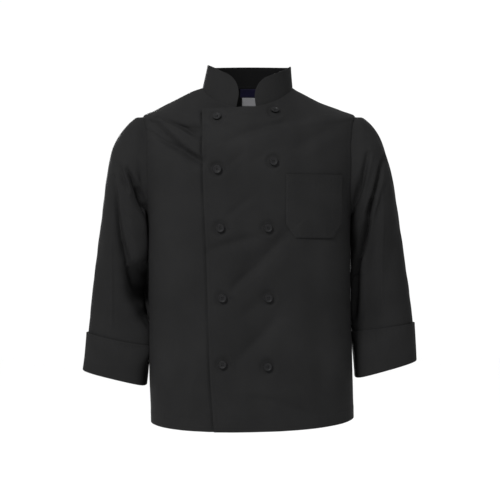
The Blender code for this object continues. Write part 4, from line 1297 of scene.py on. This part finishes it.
def collar_skin(place, height):
    """Outer face of the collar with its seams, and the way out of it."""
    base, out = on_collar(place, height)
    bottom = on_collar(COLLAR_RUN[::6], 0 * COLLAR_RUN[::6])[0]
    relief = seam_relief(base, COLLAR_RIM, (COLLAR_STITCH,), 0.0002, 0.0002, 21.0)
    relief += seam_relief(base, bottom, (NECK_STITCH,), 0.0002, 0.0003, 22.0)
    return base + out * relief[..., None], out


share = 1 - (1 - np.linspace(0, 1, COLLAR_ROWS)[:, None]) ** COLLAR_CROWDING
root = -np.array(((COLLAR_ROOT,), (COLLAR_ROOT / 2,)))
start, stop = between_ends(np.concatenate((0 * root, share)))
place = start + (stop - start) * np.linspace(0, 1, COLLAR_COLUMNS)
height = np.concatenate((root + 0 * place[:2], share * collar_height(place[2:])))
points, _ = collar_skin(place, height)
cut = flat_cut(points, start=COLLAR_COLUMNS // 2)
collar = cloth("collar_cloth", points, cut, COLLAR_CLOTH, inside_out=True, inside=painted_shade_inside)
declare(collar, ["collar"])

# %% [markdown]
# ## Chest pocket
# A patch pocket is a piece of the same cloth laid on the front and stitched down on three
# sides. Its lower corners are cut off, and a narrow stretch is divided off for a pen.

# %% Chest pocket
POCKET_LEFT, POCKET_RIGHT = 0.078, 0.199     # x of its sides
POCKET_TOP, POCKET_BOTTOM = -0.196, -0.331
POCKET_MITRE_WIDTH = 0.020   # of the corners that are cut off
POCKET_MITRE_HEIGHT = 0.029
POCKET_SEAT = 0.0012         # gap between the pocket and the front
POCKET_STEP, POCKET_FINE_STEP = 0.0022, 0.0009
POCKET_HEM = 0.018           # from the pocket's top to the stitches of its hem
PEN_X = 0.1753               # where the stretch for a pen is divided off
POCKET_STITCHES = (0.0020, 0.0070)
POCKET_SINK = 0.0011         # how far its stitches pull its edge down
POCKET_SINK_REACH = 0.0014
POCKET_SWELL = 0.00045       # how far it swells and sinks between its seams


def pocket_outline(inset=0.0):
    """Corners of the pocket's three sewn sides, from its top left round to its top right."""
    slope = math.atan2(POCKET_MITRE_HEIGHT, POCKET_MITRE_WIDTH)
    shift = inset * (1 - math.cos(slope)) / math.sin(slope)
    rise = inset * (1 - math.sin(slope)) / math.cos(slope)
    left, right = POCKET_LEFT + inset, POCKET_RIGHT - inset
    shoulder = POCKET_BOTTOM + POCKET_MITRE_HEIGHT + rise
    foot = POCKET_MITRE_WIDTH - inset + shift
    bottom = POCKET_BOTTOM + inset
    return np.array(((left, POCKET_TOP), (left, shoulder), (left + foot, bottom),
                     (right - foot, bottom), (right, shoulder), (right, POCKET_TOP)))


def dense(corners, step=0.002):
    """Points a step apart along straight runs between corners."""
    run = run_length(corners)
    places = np.union1d(run, np.linspace(0, run[-1], int(run[-1] / step)))
    return along_line(places, run, corners)


POCKET_SIDES = torso(*on_front(*dense(pocket_outline()).T))
POCKET_TOP_LINE = torso(*on_front(np.linspace(POCKET_LEFT, POCKET_RIGHT, 40),
                                  np.full(40, POCKET_TOP)))
PEN_LINE = torso(*on_front(np.full(40, PEN_X), np.linspace(POCKET_BOTTOM, POCKET_TOP, 40)))


def pocket_skin(x, z):
    """Outer face of the pocket, and the way out of it."""
    level, angle = on_front(x, z)
    base = torso(level, angle)
    relief = seam_relief(base, POCKET_SIDES, POCKET_STITCHES, 0.0003, 0.0003, 23.0)
    relief += seam_relief(base, POCKET_TOP_LINE, (POCKET_HEM,), 0.0003, 0.0003, 24.0)
    relief += seam_relief(base, PEN_LINE, (0.0,), 0.0, 0.0003, 25.0)
    relief -= POCKET_SINK * np.exp(-(near_line(base, POCKET_SIDES)[0] / POCKET_SINK_REACH) ** 2)
    relief += POCKET_SWELL * waves(base[..., 0] * 0.5 + base[..., 2], (0.119, 0.073), 2.0)
    points = front_skin(level, angle, 1, offset=POCKET_SEAT + POCKET_CLOTH + relief)
    return points, torso_normal(level, angle)


tall, wide = POCKET_TOP - POCKET_BOTTOM, POCKET_RIGHT - POCKET_LEFT
up = spaced(tall, POCKET_STEP, (0.0, tall - POCKET_HEM, tall), POCKET_FINE_STEP, 0.004)[:, None]
mitre = POCKET_MITRE_WIDTH * np.maximum(0.0, 1 - up / POCKET_MITRE_HEIGHT)
share = spaced(wide, POCKET_STEP, (0.0, PEN_X - POCKET_LEFT, wide), POCKET_FINE_STEP, 0.005) / wide
x = POCKET_LEFT + mitre + (wide - 2 * mitre) * share
points, _ = pocket_skin(x, POCKET_BOTTOM + up + 0 * x)
cut = flat_cut(points)
pocket = cloth("pocket_cloth", points, cut, POCKET_CLOTH)
declare(pocket, ["pocket"])

# %% [markdown]
# ## Labels
# Two woven tapes are sewn inside the back of the neck. Both are left plain.

# %% Labels
# node, half width, its top and bottom as distances down the back, gap, material, slot
LABELS = (("label_woven", 0.0200, 0.0010, 0.0230, 0.0008, navy_tape, "navy_tape"),
          ("label_care", 0.0155, 0.0236, 0.0440, 0.0010, pale_tape, "pale_tape"))
BACK_FALL = np.linspace(NECK_LEVEL, UNDERARM_LEVEL, 400)
BACK_RUN = run_length(torso(BACK_FALL, 1.5 * np.pi))


def label_skin(x, down, stand_off):
    """A place on the inner side of the back, and the way in from it."""
    level = np.interp(down, BACK_RUN, BACK_FALL)
    angle = 2 * np.pi - angle_at_x(level, x)
    return back_skin(level, angle, -CLOTH - stand_off), -torso_normal(level, angle)


labels = {}
for name, half_width, top, bottom, stand_off, tape, slot in LABELS:
    down = np.linspace(bottom, top, 16)[:, None]
    x = np.linspace(-half_width, half_width, 30)[None, :]
    points, _ = label_skin(x + 0 * down, down + 0 * x, stand_off)
    cut = flat_cut(points)
    labels[name] = cloth(f"{name}_tape", points, cut, LABEL_CLOTH, tape, inside_out=True)
    declare(labels[name], [name])

# %% [markdown]
# ## Buttons
# A button is a turned plastic disc with a raised rim, a dished middle and four holes. One is
# shaped from a cylinder: its top is extruded and drawn in for the rim, then set in and sunk
# for the dish. The holes are cut, and ten copies are laid on the fronts.

# %% Buttons
BUTTON_THICKNESS = 0.0034
BUTTON_SEAT = 0.0005         # gap between a button and the front
BUTTON_SIDES = 56
BUTTON_WIDEST = 0.55         # height of its widest place, as a share of its thickness
BUTTON_BACK, BUTTON_TOP = 0.86, 0.93         # widths of its two faces, in its own width
BUTTON_INSETS = (0.13, 0.12)  # width of the rim and of the slope inside it, in radii
DISH_DEPTH = 0.36            # share of its thickness
DISH_FOOT = 0.08
BUTTON_EDGE = 0.00022
HOLE_RADIUS = 0.0010
HOLE_SPREAD = 0.0024
HOLE_SIDES = 14


def select_top(mesh):
    """Select only the highest face that looks straight up."""
    highest = max((face for face in mesh.polygons if face.normal.z > 0.9),
                  key=lambda face: face.center.z + face.area)
    for face in mesh.polygons:
        face.select = face.index == highest.index


def turned_button():
    """One button, its flat back on z = 0."""
    bpy.ops.object.select_all(action="DESELECT")
    rim_height = BUTTON_THICKNESS * BUTTON_WIDEST
    bpy.ops.mesh.primitive_cylinder_add(vertices=BUTTON_SIDES, radius=BUTTON_RADIUS,
                                        depth=rim_height, location=(0, 0, rim_height / 2))
    button = bpy.context.object
    bpy.ops.object.transform_apply(location=True)
    for face in button.data.polygons:
        face.select = face.normal.z < -0.9
    bpy.ops.object.mode_set(mode="EDIT")
    bpy.ops.mesh.select_mode(type="FACE")
    bpy.ops.transform.resize(value=(BUTTON_BACK, BUTTON_BACK, 1))
    bpy.ops.object.mode_set(mode="OBJECT")
    select_top(button.data)
    bpy.ops.object.mode_set(mode="EDIT")
    bpy.ops.mesh.extrude_region_move(
        TRANSFORM_OT_translate={"value": (0, 0, BUTTON_THICKNESS - rim_height)})
    bpy.ops.transform.resize(value=(BUTTON_TOP, BUTTON_TOP, 1))
    for width in BUTTON_INSETS:
        bpy.ops.mesh.inset(thickness=BUTTON_RADIUS * width)
    bpy.ops.transform.translate(value=(0, 0, -BUTTON_THICKNESS * DISH_DEPTH))
    bpy.ops.mesh.inset(thickness=BUTTON_RADIUS * DISH_FOOT)
    bpy.ops.object.mode_set(mode="OBJECT")
    for corner in range(4):
        turn = math.radians(45 + 90 * corner)
        bpy.ops.object.select_all(action="DESELECT")
        bpy.ops.mesh.primitive_cylinder_add(
            vertices=HOLE_SIDES, radius=HOLE_RADIUS, depth=4 * BUTTON_THICKNESS,
            location=(HOLE_SPREAD * math.cos(turn), HOLE_SPREAD * math.sin(turn), 0))
        drill = bpy.context.object
        bpy.context.view_layer.objects.active = button
        cut = button.modifiers.new("hole", "BOOLEAN")
        cut.operation = "DIFFERENCE"
        cut.object = drill
        bpy.ops.object.modifier_apply(modifier="hole")
        bpy.data.objects.remove(drill)
    bevel(button, BUTTON_EDGE, 28)
    bpy.ops.object.select_all(action="DESELECT")
    button.select_set(True)
    bpy.ops.object.shade_smooth_by_angle(angle=math.radians(35))
    return button


def button_frame(x, z):
    """Directions and place of a button that lies on the front: across, up, out, centre."""
    level, angle = on_front(np.array(x), np.array(z))
    out = torso_normal(level, angle)
    across = unit(np.cross((0, 0, 1), out))
    centre = front_skin(level, angle, 1, BUTTON_SEAT)
    return np.stack((across, np.cross(out, across), out, centre), -1)


model_button = turned_button()
buttons = []
for side, column in SIDES:
    for number, n in enumerate(np.flatnonzero(BUTTONS["side"] == side), 1):
        place = button_frame(BUTTONS["x"][n], BUTTONS["z"][n])
        button = bpy.data.objects.new(f"button_{column}_{number}_turned",
                                      model_button.data.copy())
        bpy.context.collection.objects.link(button)
        button.data.transform(Matrix(place.tolist() + [[0, 0, 0, 1]]))
        button.data.materials.append(black_plastic)
        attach(button, "root")
        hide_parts(f"button_{column}_{number}")
        buttons.append((button, place))
bpy.data.objects.remove(model_button)
print("10 buttons of", len(button.data.polygons), "faces")

# %% [markdown]
# ## Stitches
# The jacket is held together by thread, and what shows of it is rows of short stitches beside
# the seams and round the buttonholes. One stitch is a small bead, drawn out along the row and
# half sunk in the cloth. It is modelled once, and each piece's stitches are one joined mesh,
# made from arrays of places and directions, because there are thousands of them.

# %% Stitches
STITCH_LENGTH = 0.0022
STITCH_PITCH = 0.0030
STITCH_RADIUS = 0.00028
LABEL_STITCH = 0.0015        # from a label's edge to its stitches
ROW_END = 0.012              # angle from a seam at which a hem's row of stitches ends
BUTTONHOLE_SHORT = 0.003     # from a button's middle to the near end of its hole
BUTTONHOLE_LONG = 0.022
BUTTONHOLE_PITCH = 0.00062
BUTTONHOLE_LIP = 0.0011      # from the slit to the middle of the stitches beside it
BUTTONHOLE_BITE = 0.0020

bpy.ops.object.select_all(action="DESELECT")
bpy.ops.mesh.primitive_uv_sphere_add(segments=6, ring_count=3, radius=1.0)
bead = bpy.context.object
BEAD_POINTS = np.array([vertex.co[:] for vertex in bead.data.vertices])
BEAD_FACES = [list(face.vertices) for face in bead.data.polygons]
bpy.data.objects.remove(bead)


def beads(centres, along, out, length=STITCH_LENGTH, radius=STITCH_RADIUS):
    """Points of one drawn-out bead for each centre."""
    out = unit(out - (out * along).sum(-1, keepdims=True) * along)
    across = np.cross(out, along)
    frame = np.stack((across * radius, out * radius, along * length / 2), 1)
    return centres[:, None] + BEAD_POINTS @ frame


def stitch_row(points, out, pitch=STITCH_PITCH):
    """Beads along a line of points, one pitch apart."""
    run = run_length(points)
    middles = np.arange(pitch / 2, run[-1], pitch)
    before, after = (along_line(middles + half, run, points) for half in (-pitch / 2, pitch / 2))
    return beads(along_line(middles, run, points), unit(after - before),
                 along_line(middles, run, out))


def sew(piece, rows):
    """Join rows of beads into one mesh that belongs to a piece of cloth."""
    rows = np.concatenate(rows)
    count = len(BEAD_POINTS)
    faces = [[corner + n * count for corner in face] for n in range(len(rows))
             for face in BEAD_FACES]
    mesh = bpy.data.meshes.new(f"{piece.name}_stitches")
    mesh.from_pydata(rows.reshape(-1, 3).tolist(), [], faces)
    mesh.shade_smooth()
    mesh.materials.append(thread)
    stitches = bpy.data.objects.new(mesh.name, mesh)
    bpy.context.collection.objects.link(stitches)
    stitches.parent = piece
    mesh.calc_loop_triangles()
    print(mesh.name, len(rows), "stitches,", len(mesh.loop_triangles), "triangles")


def front_row(level, angle, side):
    """A row of stitches over a front."""
    return stitch_row(front_hung(level, angle, side), torso_normal(level, angle))


def back_row(level, angle):
    """A row of stitches over the back."""
    return stitch_row(back_skin(level, angle), torso_normal(level, angle))


def hem_places(start, stop, count):
    """Levels and angles along a hem's stitches, from one angle to another."""
    return np.full(count, HEM_STITCH), np.linspace(start, stop, count)


def buttonhole(x, z):
    """Beads that stand close together across both lips of a slit, and over its two ends."""
    ends = x - BUTTONHOLE_SHORT, x + BUTTONHOLE_LONG
    along_slit = np.arange(*ends, BUTTONHOLE_PITCH)
    rows = []
    for lip in (-BUTTONHOLE_LIP, BUTTONHOLE_LIP):
        level, angle = on_front(along_slit, z + lip + 0 * along_slit)
        upper = on_front(along_slit, z + 2 * lip + 0 * along_slit)
        centres, out = front_skin(level, angle, 1), torso_normal(level, angle)
        along = unit(front_skin(*upper, 1) - centres)
        rows.append(beads(centres, along, out, BUTTONHOLE_BITE))
    for end in ends:
        up = z + BUTTONHOLE_LIP * np.array((-1.2, 0.0, 1.2))
        for beside in (-BUTTONHOLE_PITCH, 0, BUTTONHOLE_PITCH):
            level, angle = on_front(end + beside + 0 * up, up)
            points = front_skin(level, angle, 1)
            along = unit(points[2:] - points[:1])
            rows.append(beads(points[1:2], along, torso_normal(level, angle)[1:2],
                              4 * BUTTONHOLE_LIP))
    return rows


armhole_way = np.linspace(0.03, 0.97, 200)
front_hole = armhole(armhole_way, ARMHOLE_FRONT, -ARMHOLE_STITCHES[1])
back_hole = armhole(armhole_way, -ARMHOLE_BACK, -ARMHOLE_STITCHES[1])

edge_level = np.linspace(0.002, level_at(-0.0930, -0.0597), 260)
edge_x = smooth(ring(edge_level)["z_front"], FREE_EDGE["z"], FREE_EDGE["x"]) + EDGE_STITCH
top_x = np.linspace(edge_x[-1], COLLAR_END_LEFT, 80)
top_z = NECKLINE_END_Z - NECKLINE_FALL * (COLLAR_END_LEFT - top_x) - EDGE_STITCH
top_level, top_angle = on_front(top_x, top_z)
lap_angle = float(free_edge_angle(HEM_STITCH, 1))
rows = [front_row(edge_level, angle_at_x(edge_level, edge_x), 1),
        front_row(top_level, top_angle, 1),
        front_row(*hem_places(ROW_END, lap_angle - 0.01, 240), 1),
        front_row(*front_hole, 1)]
for x, z, side in zip(BUTTONS["x"], BUTTONS["z"], BUTTONS["side"]):
    if side < 0:
        rows += buttonhole(x, z)
sew(fronts[1], rows)
sew(fronts[-1], [front_row(*hem_places(lap_angle + 0.01, np.pi - ROW_END, 160), -1),
                 front_row(front_hole[0], np.pi - front_hole[1], -1)])

shoulder = SHOULDER_TO_NECK[1:-1]
behind = SHOULDER_STITCH / ring(shoulder)["back"]
sew(back, [back_row(*hem_places(np.pi + ROW_END, 2 * np.pi - ROW_END, 300)),
           back_row(back_hole[0], np.pi + back_hole[1]),
           back_row(back_hole[0], 2 * np.pi - back_hole[1]),
           back_row(shoulder, np.pi + behind), back_row(shoulder, 2 * np.pi - behind)])

for side, _ in SIDES:
    grid = cuff_grid(side)
    drop = np.linalg.norm(np.diff(grid[:4], axis=0), axis=-1).mean(axis=1).cumsum()
    n = int(np.searchsorted(drop, CUFF_STITCH))
    step = grid[n + 1] - grid[n]
    line = grid[n] + step * (CUFF_STITCH - drop[n - 1]) / (drop[n] - drop[n - 1])
    out = closed_line(facing_out(side, line, unit(step)))
    sew(cuffs[side], [stitch_row(closed_line(line) + out * CUFF_CLOTH / 2, out)])

neck_place = np.linspace(0.004, COLLAR_RUN[-1] - 0.004, 300)
lines = (collar_skin(*collar_rim(COLLAR_STITCH)),
         collar_skin(neck_place, NECK_STITCH + 0 * neck_place))
rows = [stitch_row(points, out) for points, out in lines]
rows += [stitch_row(points - out * COLLAR_CLOTH, -out) for points, out in lines]
sew(collar, rows)

rows = [stitch_row(*pocket_skin(*dense(pocket_outline(inset)).T)) for inset in POCKET_STITCHES]
hem_x = np.linspace(POCKET_LEFT + 0.002, POCKET_RIGHT - 0.002, 80)
rows.append(stitch_row(*pocket_skin(hem_x, POCKET_TOP - POCKET_HEM + 0 * hem_x)))
pen_z = np.linspace(POCKET_BOTTOM + 0.007, POCKET_TOP - 0.001, 80)
rows.append(stitch_row(*pocket_skin(PEN_X + 0 * pen_z, pen_z)))
sew(pocket, rows)

for name, half_width, top, bottom, stand_off, _, _ in LABELS:
    wide, low, high = half_width - LABEL_STITCH, bottom - LABEL_STITCH, top + LABEL_STITCH
    corners = np.array(((-wide, high), (wide, high), (wide, low), (-wide, low), (-wide, high)))
    rows = stitch_row(*label_skin(*dense(corners).T, stand_off + LABEL_CLOTH))
    sew(labels[name], [rows])

# %% [markdown]
# ## Thread on the buttons
# Each button is sewn on with two bars of thread, three strands a bar, that lie side by side
# in its dish and go down through its holes.

# %% Thread on the buttons
STRAND_RADIUS = 0.00034
STRAND_LENGTH = 2.1          # in distances from the button's middle to a bar
BAR_HEIGHT = 0.0023          # of the strands over the button's back
bar_place = HOLE_SPREAD * math.cos(math.radians(45))
for button, place in buttons:
    across, up, out, centre = place.T
    middles = np.array([centre + up * (bar + strand * 2 * STRAND_RADIUS) + out * BAR_HEIGHT
                        for bar in (-bar_place, bar_place) for strand in (-1, 0, 1)])
    ways = np.broadcast_to(across, middles.shape)
    outs = np.broadcast_to(out, middles.shape)
    sew(button, [beads(middles, ways, outs, STRAND_LENGTH * bar_place, STRAND_RADIUS)])
